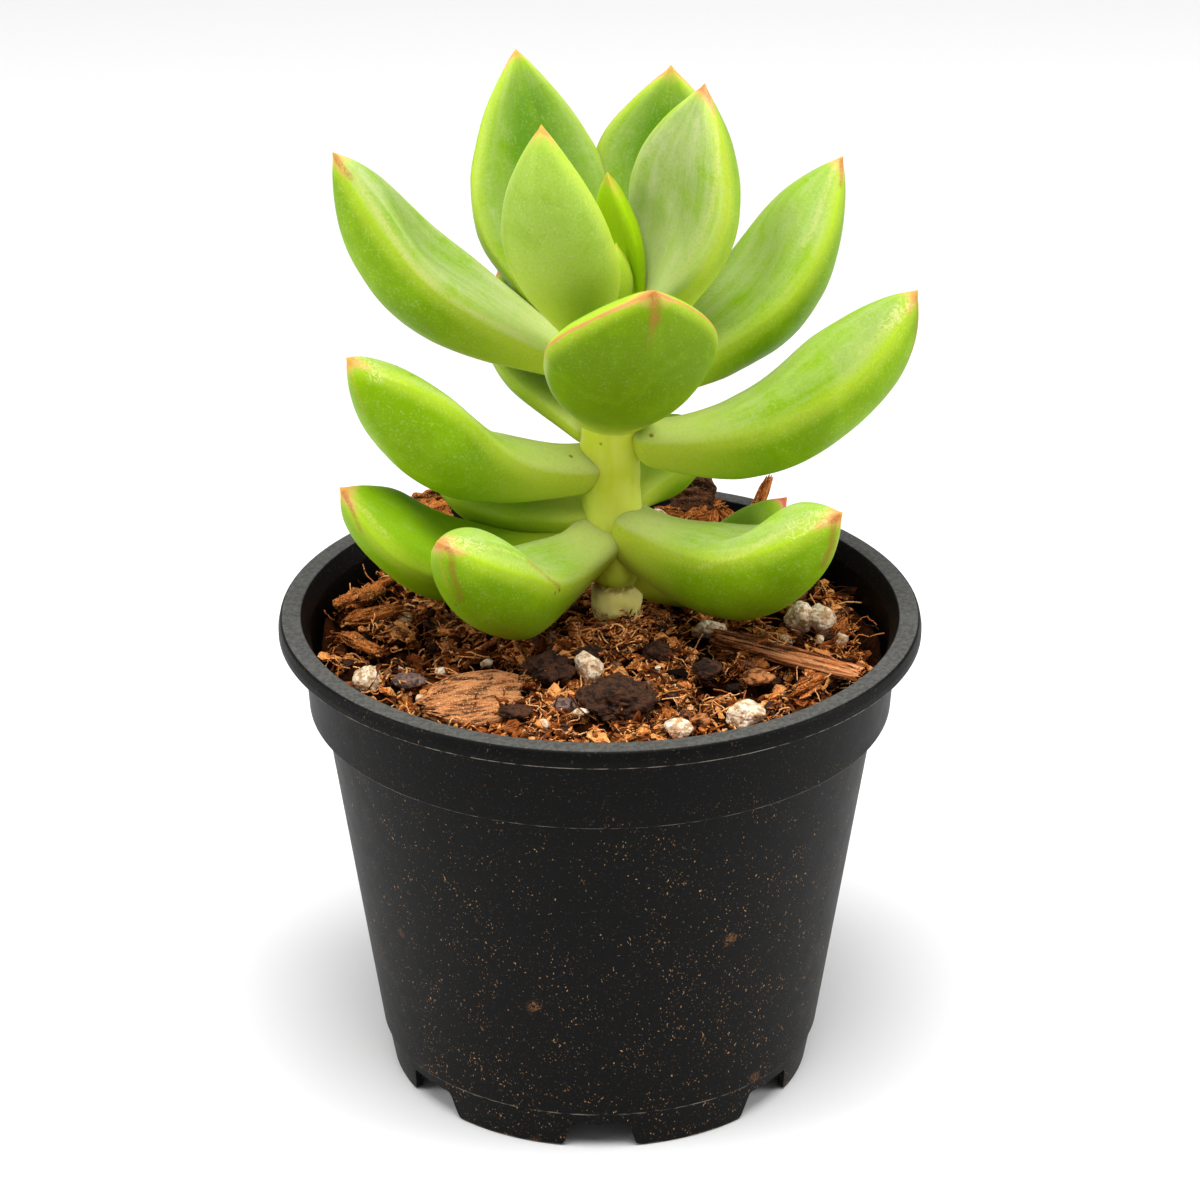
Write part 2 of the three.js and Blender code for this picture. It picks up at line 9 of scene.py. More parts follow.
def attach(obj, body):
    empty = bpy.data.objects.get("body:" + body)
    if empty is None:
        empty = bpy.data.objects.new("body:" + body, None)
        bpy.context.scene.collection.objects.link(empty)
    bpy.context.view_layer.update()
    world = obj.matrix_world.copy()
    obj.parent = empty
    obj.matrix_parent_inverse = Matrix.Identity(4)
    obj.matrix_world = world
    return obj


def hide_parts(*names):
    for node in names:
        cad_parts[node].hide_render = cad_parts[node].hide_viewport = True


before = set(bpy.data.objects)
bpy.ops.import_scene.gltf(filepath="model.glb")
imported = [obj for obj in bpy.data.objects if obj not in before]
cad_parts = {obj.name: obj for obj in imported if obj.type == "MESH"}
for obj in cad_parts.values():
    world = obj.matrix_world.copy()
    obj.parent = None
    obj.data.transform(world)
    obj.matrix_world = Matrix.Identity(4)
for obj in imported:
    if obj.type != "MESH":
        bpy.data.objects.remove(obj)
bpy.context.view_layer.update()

# Sizes are real ones, in millimetres, and become metres where a mesh is made.
MM = 0.001
BODY = "root"

# Camera: a long lens a little over the plant, as in the photograph.
CAMERA_PLACE = (0, -573.7, 337.5)
CAMERA_DIP = 24.9
LENS = 135
SENSOR = 36

# Pot
POT_HEIGHT = 70
RIM_RADIUS = 45
RIM_DEPTH = 2.5
RIM_INNER_RADIUS = 42
COLLAR_RADIUS = 41.9
COLLAR_FOOT_RADIUS = 41.1
COLLAR_FOOT_HEIGHT = 56.4
BODY_TOP_RADIUS = 39.1
BODY_FOOT_RADIUS = 31.6
LEDGE_HEIGHT = 6
FOOT_TOP_RADIUS = 31.2
FOOT_RADIUS = 30.1
WALL = 1.1
FLOOR_UNDERSIDE = 3.8
FLOOR_TOP = 5
FOOT_COUNT = 7
NOTCH_TOP_WIDTH = 8.2
NOTCH_FOOT_WIDTH = 10.4
NOTCH_HEIGHT = 4.3
NOTCH_FLARE = 1.4
DRAIN_REACH = 4.5
FILLET_STEPS = 5
POT_SEGMENTS = 336
POT_SHARP_ANGLE = 32
OUTSIDE_DEPTH = 0.4
# Heights and radii of the outer wall, which tell its outside from its inside
POT_WALL = (
    (0, FOOT_RADIUS), (LEDGE_HEIGHT, FOOT_TOP_RADIUS), (LEDGE_HEIGHT + 0.3, BODY_FOOT_RADIUS),
    (COLLAR_FOOT_HEIGHT - 0.1, BODY_TOP_RADIUS), (COLLAR_FOOT_HEIGHT + 0.1, COLLAR_FOOT_RADIUS),
    (POT_HEIGHT - RIM_DEPTH - 0.1, COLLAR_RADIUS), (POT_HEIGHT - RIM_DEPTH, RIM_RADIUS),
)
# Edges that hold dust: height, how far off it starts and is full, and how strong it is
DUSTY_EDGES = (
    (POT_HEIGHT - RIM_DEPTH + 0.05, 0.16, 0.04, 1),
    (COLLAR_FOOT_HEIGHT + 0.05, 0.16, 0.04, 0.8),
    (LEDGE_HEIGHT + 0.1, 0.3, 0.1, 0.8),
    (0, 0.4, 0.1, 0.6),
)

# Soil
SOIL_LEVEL = 64
SOIL_FOOT_HEIGHT = 5.3
SOIL_BACK_SLOPE = 0.045
SOIL_SWELL = 0.7
SOIL_CRUMB = 0.45
SOIL_RADIUS = 39.7
SOIL_RINGS = 110
SOIL_SEGMENTS = 300
# How far the soil's skin lies under the loose pieces on it
SOIL_SINK = 1.3
# Mounds and crumbs of the loose soil: their size and how far they rise
MOUND_SIZE = 4.6
MOUND_RISE = 2.6
CRUMB_SIZE = 3.1
CRUMB_RISE = 1.2
GROUND_DROP = 0.6
FINE_CRUMB_SIZE = 1.4
FINE_CRUMB_RISE = 0.8
# Heaps of loose bark: place, height and reach
HEAPS = ((17, 33, 3.4, 8.5), (-22, 32, 2.4, 7), (2.2, 0.4, 3.0, 4.2))

# What is strewn on the soil out to a radius, but not close to the stem. Each has its
# tree, slot and finish, how many lie on a square metre, the smallest and largest sizes in
# metres, tilt, raggedness and the number of its waves in a metre, how deep it sinks, and a seed.
STREWN_RADIUS = 39.0
STREWN_CLEAR = 3.0
STREWN = (
    ("bark_shreds", "crumbs", "soil", "red", 60000.0, (0.0028, 0.0008, 0.0004), (0.0075, 0.0020, 0.0010),
     0.5, 0.003, 350.0, -0.0001, 2),
    ("bark_flakes", "crumbs", "soil", "red", 260000.0, (0.0014, 0.0007, 0.0002), (0.0052, 0.0023, 0.0006),
     0.8, 0.0018, 700.0, 0.0002, 4),
    ("bark_crumbs", "crumbs", "soil", "red", 480000.0, (0.0005, 0.0004, 0.0003), (0.0021, 0.0014, 0.0010),
     1.5, 0.0013, 1000.0, 0.0003, 9),
    ("bark_slivers", "crumbs", "soil", "red", 420000.0, (0.0012, 0.0002, 0.00015), (0.0044, 0.0006, 0.0004),
     0.9, 0.0014, 500.0, 0.0, 11),
    ("dark_crumbs", "crumbs", "dark_bark", "dark", 50000.0, (0.001, 0.0008, 0.0006),
     (0.0042, 0.0028, 0.0018), 0.9, 0.0018, 600.0, 0.0004, 14),
    ("tan_crumbs", "crumbs", "bark", "tan", 45000.0, (0.0007, 0.0004, 0.0002), (0.0030, 0.0012, 0.0006),
     0.8, 0.0012, 800.0, -0.0001, 21),
    ("perlite_crumbs", "crumbs", "perlite", "perlite", 7000.0, (0.0005, 0.0005, 0.0004),
     (0.0015, 0.0013, 0.0011), 1.5, 0.0008, 900.0, -0.0001, 33),
    ("coir_fibres", "fibres", "soil", "fibre", 400000.0, (0.0025, 0.0025, 0.0015), (0.0090, 0.0075, 0.0055),
     0.6, 0.004, 260.0, 0.0, 40),
    ("coir_hairs", "fibres", "soil", "fibre", 380000.0, (0.0014, 0.0018, 0.001), (0.0045, 0.004, 0.006),
     1.0, 0.003, 400.0, 0.0, 47),
)
# A clump of fibres before the stem's foot
CLUMP_PLACE = (2.4, -0.6)
CLUMP_RADIUS = 4.2
CLUMP = ("coir_clump", "fibres", "soil", "fibre", 4000000.0, (0.0022, 0.0022, 0.0015),
         (0.0060, 0.0050, 0.0050), 0.7, 0.004, 300.0, -0.0006, 52)
GROUND_SQUARES = 90
CLUMPING = 230.0
FIBRE_RADIUS = 0.11
FIBRE_STEPS = 9
FIBRE_SIDES = 4

# Stem, with heights and radii of its sections, and heights and directions of its spots
STEM_Y = 5
STEM_TOP_X = 1.5
STEM_FOOT_X = 2.5
STEM_STRAIGHT_HEIGHT = 90
STEM_FOOT_HEIGHT = 40
STEM_TIP_HEIGHT = 116.2
STEM_SECTIONS = (
    (42, 1.2), (50, 1.8), (60, 2), (64, 2), (65, 2.45), (66, 3.05), (67, 3.4), (68, 3.6), (69, 3.65),
    (70, 3.55), (70.7, 3.35), (71.3, 3.05), (71.7, 2.8), (72, 2.65), (72.3, 3), (72.7, 3.3), (73.6, 3.5),
    (80, 3.9), (92, 4.1), (102, 3.9), (108, 3.5), (112.5, 2.8), (115.2, 1.6),
)
STEM_RINGS = 300
STEM_SIDES = 96
STEM_SPOTS = ((94.5, 250), (96.8, 245), (78, 262), (80.5, 300))
STEM_SPOT_REACH = 4.1
STEM_SPOT_SIZE = 0.5
# The callused foot ends here, and the stem swells by this much where a leaf joins it
CALLUS_TOP = 72
JOINT_SWELL = 0.55
JOINT_HEIGHT = 2.6
JOINT_WIDTH = 42
HIGHEST_JOINT = 105
STEM_SMOOTHING = 7
# Heights between which its shaded part, its callused foot and the soil's stain on it set
# in, the height of the brown ring, and that of the part without torn skin
STEM_SHADED = (86, 76)
CALLUSED = (72.2, 71.2)
STAINED = (70, 68.4)
FOOT_RING = 71.8
UNTORN = 69.8

# Leaves, with heights above the pot's rim, lengths in millimetres and turns in degrees.
# twist is the extra roll at the foot, lobe how far the foot swells to each side of its
# neck, root how far it reaches back towards the stem's middle, and point how far the thin
# end of the tip reaches out. blush, rosy and youth say how red the tip, how pink the margin
# and how yellow the leaf is, bloom and heart how waxy and how dark in the middle its upper
# face, sage how grey its lower face and painted_shade how much painted shade darkens it,
# and pale how far up the light colour of its foot reaches: partly the foot's own paler
# colour and partly painted light where the foot lies in shade.
LEAF_ROOT_RADIUS = 3
LEAF_TINTS = ("blush", "rosy", "youth", "bloom", "sage", "heart", "painted_shade", "pale")
COMMON = dict(bend=1, twist=0, blunt=1.5, swell_from=0.42, root=2.5, point=0.25, rosy=0, youth=0.1, sage=0,
              heart=0, painted_shade=0)
LOW = dict(COMMON, neck=0.42, neck_depth=0.58, deepest=0.5, full=1, taper=0.55, plump=0.8, lobe=0.8,
           blush=0.55, bloom=0.2, pale=0.42)
MIDDLE = dict(COMMON, bend=0.85, neck=0.42, neck_depth=0.45, deepest=0.52, full=0.8, taper=0.6, plump=0.5,
              lobe=0.8, blush=0.5, bloom=0.6, pale=0.45)
YOUNG = dict(COMMON, neck=0.32, neck_depth=0.55, deepest=0.5, full=0.3, taper=0.55, plump=0, lobe=0.4,
             blush=0.45, bloom=1, sage=0.3, pale=0.42)
LEAVES = {
    "leaf_front": dict(
        MIDDLE, height=29, azimuth=271, rise_foot=33, rise_tip=60, bend=0.7,
        length=35, width=23.8, depth=8.5, roll=5, sway=28, widest=0.65, blunt=2.4,
        blush=0.45, rosy=1, bloom=0.2, painted_shade=0.7),
    "leaf_crown_front_left": dict(
        YOUNG, height=39.5, azimuth=236, rise_foot=54, rise_tip=84,
        length=37.5, width=16, depth=7.5, roll=-13, sway=-2, widest=0.49, sage=0.75, heart=0.25, pale=0.8),
    "leaf_crown_right": dict(
        YOUNG, height=39.5, azimuth=343, rise_foot=69, rise_tip=80, bend=0.85,
        length=38.2, width=19.5, depth=10, roll=-52, twist=20, sway=10, widest=0.5, taper=0.7,
        blush=0.75, rosy=0.2, sage=0.25, pale=0.75),
    "leaf_crown_left": dict(
        YOUNG, height=36, azimuth=128, rise_foot=50, rise_tip=73, bend=1.1,
        length=43.7, width=21.6, depth=8.5, roll=4, sway=-12, widest=0.47, point=0, bloom=0.5, heart=1),
    "leaf_crown_back": dict(
        YOUNG, height=38, azimuth=65.5, rise_foot=34, rise_tip=82, bend=0.9,
        length=39.5, width=19, depth=7, roll=-10, sway=8, widest=0.65, rosy=0.5, bloom=0.4, heart=1),
    "leaf_bud_right": dict(
        YOUNG, height=42.5, azimuth=24, rise_foot=103, rise_tip=97,
        length=20.7, width=9.4, depth=3.4, roll=-8, sway=6, widest=0.5, neck=0.75,
        lobe=0, root=1, blush=0.25, youth=1, bloom=0, sage=0),
    "leaf_bud_left": dict(
        YOUNG, height=43.5, azimuth=285, rise_foot=93, rise_tip=90,
        length=10, width=4.67, depth=2.6, roll=0, sway=0, widest=0.45, neck=0.6,
        lobe=0, root=1, blush=0.1, rosy=0, youth=0.3, pale=1.6),
    "leaf_upper_left": dict(
        MIDDLE, height=35.5, azimuth=178, rise_foot=23, rise_tip=57, bend=0.9,
        length=46.5, width=12, depth=12, roll=12, sway=4, widest=0.5, neck_depth=0.35,
        taper=0.75, swell_from=0.55, bloom=1, pale=0.6, heart=0.3),
    "leaf_upper_right": dict(
        MIDDLE, height=33, azimuth=19, rise_foot=12, rise_tip=60, bend=0.68,
        length=43, width=16.5, depth=11.2, roll=-4, sway=9, widest=0.53, taper=0.7, full=1),
    "leaf_upper_back": dict(
        MIDDLE, height=30, azimuth=95, rise_foot=4, rise_tip=50,
        length=32, width=14.5, depth=9, roll=-6, sway=-2, widest=0.55),
    "leaf_middle_right": dict(
        MIDDLE, height=24.8, azimuth=-14, rise_foot=-2, rise_tip=56, bend=0.9,
        length=46.8, width=13.5, depth=12, roll=1, sway=28, widest=0.52, deepest=0.55, full=1, neck=0.5,
        neck_depth=0.42, plump=1, swell_from=0.25, lobe=0.3, root=0, pale=0.5),
    "leaf_middle_back_left": dict(
        MIDDLE, height=25, azimuth=129, rise_foot=18, rise_tip=62, bend=1,
        length=28, width=15, depth=6.5, roll=2, sway=5, widest=0.55, neck_depth=0.6),
    "leaf_middle_left": dict(
        MIDDLE, height=20.5, azimuth=193, rise_foot=-2, rise_tip=54, bend=0.75,
        length=42, width=14.5, depth=10, roll=-40, twist=50, sway=16, widest=0.58, full=1, neck=0.38,
        neck_depth=0.56, plump=1, lobe=0.8, root=3.5, pale=0.55),
    "leaf_low_right": dict(
        LOW, height=11.8, azimuth=331, rise_foot=-18, rise_tip=47,
        length=36, width=16, depth=12.5, roll=9, sway=-3, widest=0.56, full=0.85, blush=0.6, bloom=0.7),
    "leaf_low_front_left": dict(
        LOW, height=10, azimuth=229, rise_foot=-21, rise_tip=50, bend=0.9,
        length=35.5, width=14.5, depth=11.7, roll=-12, twist=36, sway=-4, widest=0.66, blush=0.6,
        bloom=0.6),
    "leaf_low_left": dict(
        LOW, height=8.8, azimuth=193, rise_foot=-23, rise_tip=51, bend=0.8,
        length=40.5, width=15, depth=9.6, roll=16, sway=6, widest=0.68, bloom=0, heart=0.25),
    "leaf_low_back_right": dict(
        LOW, height=14, azimuth=65, rise_foot=12, rise_tip=-6,
        length=23.5, width=13, depth=8, roll=-3, sway=0, widest=0.55, blush=0.3),
    "leaf_low_back_left": dict(
        LOW, height=12.5, azimuth=164, rise_foot=-5, rise_tip=43,
        length=28, width=13, depth=8, roll=15, sway=-3, widest=0.55),
    "leaf_lowest_right": dict(
        LOW, height=4, azimuth=36, rise_foot=-32, rise_tip=45,
        length=29.5, width=13.5, depth=8, roll=9, sway=-3, widest=0.58, blush=1),
}

# Marks on the leaves: what kind, how wide in millimetres, and the points it runs through,
# each as the share of the leaf's length and the degrees round it from its right margin.
MARKS = {
    "leaf_upper_left": (
        ("light_line", 0.5, (
            (0.99, 162), (0.9, 157), (0.77, 161), (0.62, 173), (0.48, 173), (0.34, 165), (0.2, 160))),
        ("red_line", 0.6, ((0.99, 175), (0.96, 170), (0.92, 165))),
    ),
    "leaf_upper_right": (
        ("light_line", 0.5, ((0.98, 45), (0.88, 33), (0.75, 30), (0.69, 34))),
        ("red_line", 0.5, ((0.99, 10), (0.96, 2), (0.92, 0))),
    ),
    "leaf_middle_right": (
        ("scar", 1.7, ((0.95, 16), (0.87, 22))),
        ("light_line", 0.42, ((0.97, 15), (0.9, 18), (0.84, 21), (0.76, 24))),
        ("red_line", 0.7, ((0.99, 300), (0.93, 290), (0.86, 282), (0.78, 275))),
        ("spot", 0.45, ((0.057, 33),)),
    ),
    "leaf_middle_left": (
        ("scar", 1.8, ((0.96, 150), (0.91, 190))),
        ("light_line", 0.42, ((0.98, 185), (0.9, 182), (0.82, 181))),
        ("spot", 0.42, ((0.081, 117),)),
        ("spot", 0.4, ((0.84, 132),)),
        ("spot", 0.35, ((0.775, 138),)),
        ("spot", 0.35, ((0.8, 150),)),
    ),
    "leaf_low_right": (
        ("light_line", 0.5, ((0.985, 36), (0.9, 27), (0.79, 20), (0.66, 8), (0.555, 2), (0.42, 355))),
        ("scar", 1.9, ((0.95, 26), (0.84, 14))),
        ("red_line", 0.7, ((0.985, 340), (0.94, 300), (0.9, 284), (0.83, 283))),
    ),
    "leaf_low_front_left": (
        ("light_line", 0.45, ((0.97, 171), (0.9, 155), (0.8, 150), (0.64, 153), (0.53, 168))),
        ("red_line", 0.42, ((0.66, 152), (0.53, 168), (0.43, 180))),
        ("red_line", 0.6, ((0.97, 200), (0.91, 246), (0.8, 260))),
        ("scar", 1.8, ((0.955, 150), (0.89, 152))),
        ("spot", 0.55, ((0.436, 183),)),
        ("spot", 0.35, ((0.46, 186),)),
        ("spot", 0.4, ((0.78, 272),)),
    ),
    "leaf_low_left": (
        ("light_line", 0.42, ((0.98, 170), (0.91, 157), (0.82, 161))),
        ("red_line", 0.5, ((0.985, 172), (0.93, 196), (0.88, 205))),
    ),
    "leaf_front": (
        ("red_line", 1.3, ((0.985, 255), (0.95, 262), (0.91, 267))),
    ),
    "leaf_crown_right": (
        ("light_line", 0.5, (
            (0.99, 18), (0.925, 5), (0.84, 12), (0.73, 24), (0.57, 36), (0.47, 36), (0.31, 36))),
    ),
}
MARK_STEPS = 40
LEAF_SIDES = 120
LEAF_STEPS = 120
TIP_CROWDING = 1.4
TIP_CREASE = 0.5
CREASE_START = 0.6
SWELL_REACH = 0.43
CHANNEL = 0.26
RIDGE = 0.1
RIDGE_WIDTH = 0.1
CAP_LENGTH = 3
CAP_STEPS = 14
POINT_SLOPE_OVER = 1.5
POINT_SLOPE_UNDER = 0.9
POINT_ROOT = 0.4
LEAF_WAVE = 0.035
LEAF_WAVE_SIZE = 9.0

# Bark pieces on the soil: place, height of the middle over it, turns and size. ragged is
# the share of the length that the broken ends vary by, grooves how many run across the
# width, and widths the shape of the outline from one end to the other.
BARK_SIDES = 108
BARK_STATIONS = 80
EVEN = (0.75, 0.95, 1, 1, 0.95, 0.75)
BARK = {
    "bark_chip_front": dict(
        x=-17.5, y=-17.5, lift=1.2, turn=22, lean=30, tilt=4, length=16, width=9, thickness=2.2,
        seed=3, ragged=0.22, grooves=7, widths=(0.3, 0.75, 1, 1, 0.9, 0.7), finish="tan"),
    "bark_splinter_right": dict(
        x=26, y=-6.3, lift=1.7, turn=-31, lean=12, tilt=0, length=24.5, width=2.5, thickness=1.7,
        seed=8, ragged=0.12, grooves=5, widths=(0.7, 0.9, 1, 1, 0.95, 0.85), relief=1.7, finish="split"),
    "bark_chip_left": dict(
        x=-34.5, y=10.5, lift=1.6, turn=70, lean=-24, tilt=10, length=9, width=6, thickness=2,
        seed=5, ragged=0.3, grooves=4, widths=EVEN, finish="red"),
    "bark_chip_rear": dict(
        x=13.5, y=34.4, lift=5.6, turn=-20, lean=68, tilt=5, length=7.4, width=10.5, thickness=2.4,
        seed=12, ragged=0.3, grooves=7, widths=EVEN, finish="dark"),
    "bark_chip_rear_left": dict(
        x=-24.5, y=31, lift=5.0, turn=30, lean=55, tilt=8, length=7, width=8.5, thickness=2.2,
        seed=21, ragged=0.3, grooves=6, widths=EVEN, finish="red"),
    "bark_spike_rear": dict(
        x=22.9, y=31.2, lift=6.4, turn=60, lean=8, tilt=-54, length=11.5, width=3, thickness=1.4,
        seed=30, ragged=0.3, grooves=3, widths=(1, 0.9, 0.8, 0.6, 0.5, 0.3), finish="red"),
}

# Loose shreds of bark, which only the looks have: their place, height of the middle over
# the soil, turn, lean, tilt, length and width
SHRED = dict(thickness=1.3, ragged=0.35, grooves=3, widths=(0.5, 0.9, 1, 0.9, 0.8, 0.5), relief=1.4,
             finish="red")
SHRED_SIZES = ("x", "y", "lift", "turn", "lean", "tilt", "length", "width")
SHREDS = (
    (12.5, 31, 3.9, 20, 20, -12, 9, 2.6),
    (16.2, 30.6, 4.4, 70, -15, -30, 7.5, 2.4),
    (19.6, 31.6, 4.4, -55, 25, 20, 7, 2.6),
    (15, 33.2, 5.0, 35, -20, -8, 8.5, 2),
    (21, 33.6, 4.6, 5, 15, -14, 6.5, 2.4),
    (10.6, 33.5, 4.3, -15, 10, 6, 6, 2),
    (23.4, 31.2, 3.6, -70, -15, 10, 6, 2.2),
    (-21, 29.5, 3.4, -30, 30, 10, 6, 2.4),
    (-32, 5.5, 1.4, 18, 10, -6, 9, 2.2),
    (-33.5, -1.5, 1.3, -35, -10, 8, 8, 1.8),
    (29, -13, 1.2, 40, 15, -5, 7, 1.8),
    (34, 4, 1.3, 75, -10, 8, 7, 2),
)
FIRST_SHRED_SEED = 61

# Rounded lumps on the soil
LUMP_FACES = 13
LUMPS = {
    "bark_nugget_centre": dict(x=-7, y=-9.3, lift=1.2, size=(6.6, 5.6, 5.2), seed=2),
    "bark_nugget_front": dict(x=2.2, y=-18.6, lift=1, size=(9.2, 7.6, 5.6), seed=7),
    "perlite_centre": dict(x=-1.7, y=-9.4, lift=1.6, size=(4, 3.6, 4.8), seed=11),
    "perlite_left": dict(x=-32.2, y=-11, lift=1.1, size=(3.9, 3.8, 3.6), seed=13),
    "perlite_front_right": dict(x=19.9, y=-22.8, lift=1.3, size=(5.1, 4.6, 4), seed=17),
    "perlite_front": dict(x=10.6, y=-25.2, lift=1, size=(3.6, 3.2, 2.8), seed=19),
    "perlite_right_a": dict(x=28.3, y=3.9, lift=1.8, size=(3.9, 3.8, 4.6), seed=23),
    "perlite_right_b": dict(x=31.2, y=3.4, lift=1.8, size=(3.9, 3.8, 4.6), seed=29),
    "perlite_splinter": dict(x=15.6, y=3.8, lift=1.2, size=(4.2, 3, 2.9), seed=31),
    "perlite_rear": dict(x=8.6, y=31.5, lift=3.6, size=(4.2, 3.6, 4), seed=37),
}
# Small loose bits between them, which only the looks have: place, height and size
BITS = {
    "perlite": (
        (-27.7, 6.5, 0.6, (2.2, 1.6, 1.4)),
        (-15.8, -6, 0.6, (1.7, 1.5, 1.3)),
        (-24.9, -14.5, 0.7, (1.4, 1.2, 1.3)),
        (-22.2, -9.4, 0.9, (1.5, 1.2, 1.2)),
        (-7.6, -23.6, 0.6, (1.8, 1.5, 1.5)),
        (-12.6, -24.6, 0.5, (1.4, 1.2, 1)),
        (-2.6, -21.4, 0.7, (2.2, 1.5, 1.3)),
        (26.3, 0.3, 0.8, (2, 1.8, 1.8)),
        (31, -1.2, 0.7, (1.3, 1.2, 1.4)),
        (34, -1, 0.8, (1.9, 1.7, 1.9)),
    ),
    "tan": (
        (-28.6, 1.6, 0.6, (2.8, 1.6, 1)),
        (-21.4, -1.6, 0.6, (1.5, 1.6, 1.5)),
        (22, -11.6, 1.1, (4, 3.2, 1.8)),
        (13.8, -22.8, 0.7, (2.6, 2, 1.8)),
    ),
    "grey": (
        (-4.6, -19, 1, (3.2, 2.6, 2.6)),
        (-26.4, -11.2, 0.9, (4.2, 3, 2.2)),
    ),
    "dark": (
        (8.2, -3.6, 1.1, (4.6, 4.2, 3.6)),
        (14.8, -10.6, 0.8, (3.8, 3, 2.4)),
        (-11.5, -21.6, 0.8, (4.2, 3, 2)),
        (-1.5, -4.6, 0.8, (3.4, 2.6, 2.4)),
    ),
}
FIRST_BIT_SEED = 41

# Colours
# LEAF_SHADE is a dark green, used for painted shade on a leaf's lower face and for its dark specks
LEAF_SHADE = (0.090, 0.160, 0.001)
LEAF_DEEP = (0.150, 0.285, 0.001)
LEAF_MIDDLE = (0.200, 0.360, 0.002)
LEAF_PALE = (0.590, 0.680, 0.060)
# The milky foot colour is a painted sheen on the foot of waxy upper faces
LEAF_MILKY_SHEEN = (0.700, 0.740, 0.400)
LEAF_SAGE = (0.310, 0.430, 0.080)
LEAF_WAXY = (0.430, 0.470, 0.240)
LEAF_HEART = (0.060, 0.180, 0.004)
LEAF_YELLOW = (0.330, 0.520, 0.001)
TIP_ORANGE = (0.700, 0.240, 0.150)
TIP_RED = (0.560, 0.100, 0.060)
KEEL_RED = (0.300, 0.085, 0.020)
MARGIN_PINK = (0.480, 0.160, 0.085)
CORK = (0.720, 0.660, 0.360)
LINE_YELLOW = (0.660, 0.570, 0.220)
SPOT_BROWN = (0.160, 0.055, 0.015)
STEM_GREEN = (0.700, 0.790, 0.050)
STEM_LIGHT = (0.800, 0.860, 0.130)
STEM_SHADE = (0.400, 0.620, 0.030)
CALLUS = (0.800, 0.740, 0.230)
PLASTIC_BLACK = (0.0016, 0.0015, 0.0014)
PLASTIC_GREY = (0.011, 0.0105, 0.010)
RIM_SHEEN_GREY = (0.085, 0.083, 0.079)
FLECK_TAN = (0.600, 0.360, 0.150)
FLECK_BROWN = (0.200, 0.090, 0.035)
DUST = (0.360, 0.310, 0.260)
FOOT_RING_BROWN = (0.30, 0.13, 0.03)
TORN_BROWN = (0.22, 0.10, 0.03)
DIRT_BROWN = (0.26, 0.12, 0.035)
SOIL_SHADE_BLACK = (0.003, 0.001, 0.0005)
SOIL_BROWN = (0.030, 0.008, 0.002)
PERLITE_CREAM = (0.76, 0.59, 0.40)
PERLITE_WHITE = (0.98, 0.86, 0.68)
PERLITE_STAIN = (0.38, 0.18, 0.05)
FLOOR_WHITE = (0.78, 0.78, 0.78, 1)
# Bark and fibre: the colours of its cracks, most of it, its light parts and its pale
# crumbs, how glossy it is and how streaked
BARK_COLOURS = {
    "tan": ("tan_bark", (0.040, 0.012, 0.004), (0.410, 0.148, 0.046), (0.670, 0.290, 0.110),
            (0.850, 0.500, 0.250), 0.08, 0),
    "split": ("split_bark", (0.030, 0.008, 0.003), (0.480, 0.150, 0.045), (0.680, 0.250, 0.088),
              (0.860, 0.440, 0.200), 0.08, 0.8),
    "red": ("red_bark", (0.006, 0.002, 0.0006), (0.220, 0.052, 0.009), (0.640, 0.195, 0.038),
            (0.950, 0.470, 0.160), 0.08, 0),
    "dark": ("dark_bark", (0.007, 0.003, 0.0015), (0.045, 0.016, 0.006), (0.130, 0.045, 0.016),
             (0.320, 0.130, 0.050), 0.25, 0),
    "grey": ("grey_bark", (0.050, 0.028, 0.022), (0.180, 0.110, 0.090), (0.330, 0.220, 0.180),
             (0.550, 0.400, 0.320), 0.25, 0),
    "fibre": ("coir_fibre", (0.030, 0.008, 0.002), (0.370, 0.106, 0.021), (0.720, 0.262, 0.066),
              (0.930, 0.550, 0.230), 0.12, 0),
}

# Studio: the floor's half width, the strength of the light all round, and the lamps with
# their places, what they face, their widths and powers
FLOOR_REACH = 4
ROUND_LIGHT = 0.32
LAMPS = (
    ("overhead_box", (0.0, -0.25, 0.98), (0, 0, 0.05), 0.8, 14.8),
    ("left_box", (-0.85, -0.2, 0.4), (0, 0, 0.07), 0.6, 4.6),
    ("right_box", (0.85, -0.1, 0.4), (0, 0, 0.07), 0.6, 4.6),
)


class Wire:
    """A value on its way between nodes; arithmetic on it adds Math nodes."""

    def __init__(self, graph, socket):
        self.graph = graph
        self.socket = socket

    def maths(self, operation, first, second=0.0):
        return self.graph.node("ShaderNodeMath", {"operation": operation}, {0: first, 1: second})

    def __add__(self, other):
        return self.maths("ADD", self, other)

    def __radd__(self, other):
        return self.maths("ADD", other, self)

    def __sub__(self, other):
        return self.maths("SUBTRACT", self, other)

    def __rsub__(self, other):
        return self.maths("SUBTRACT", other, self)

    def __mul__(self, other):
        return self.maths("MULTIPLY", self, other)

    def __rmul__(self, other):
        return self.maths("MULTIPLY", other, self)

    def __abs__(self):
        return self.maths("ABSOLUTE", self)


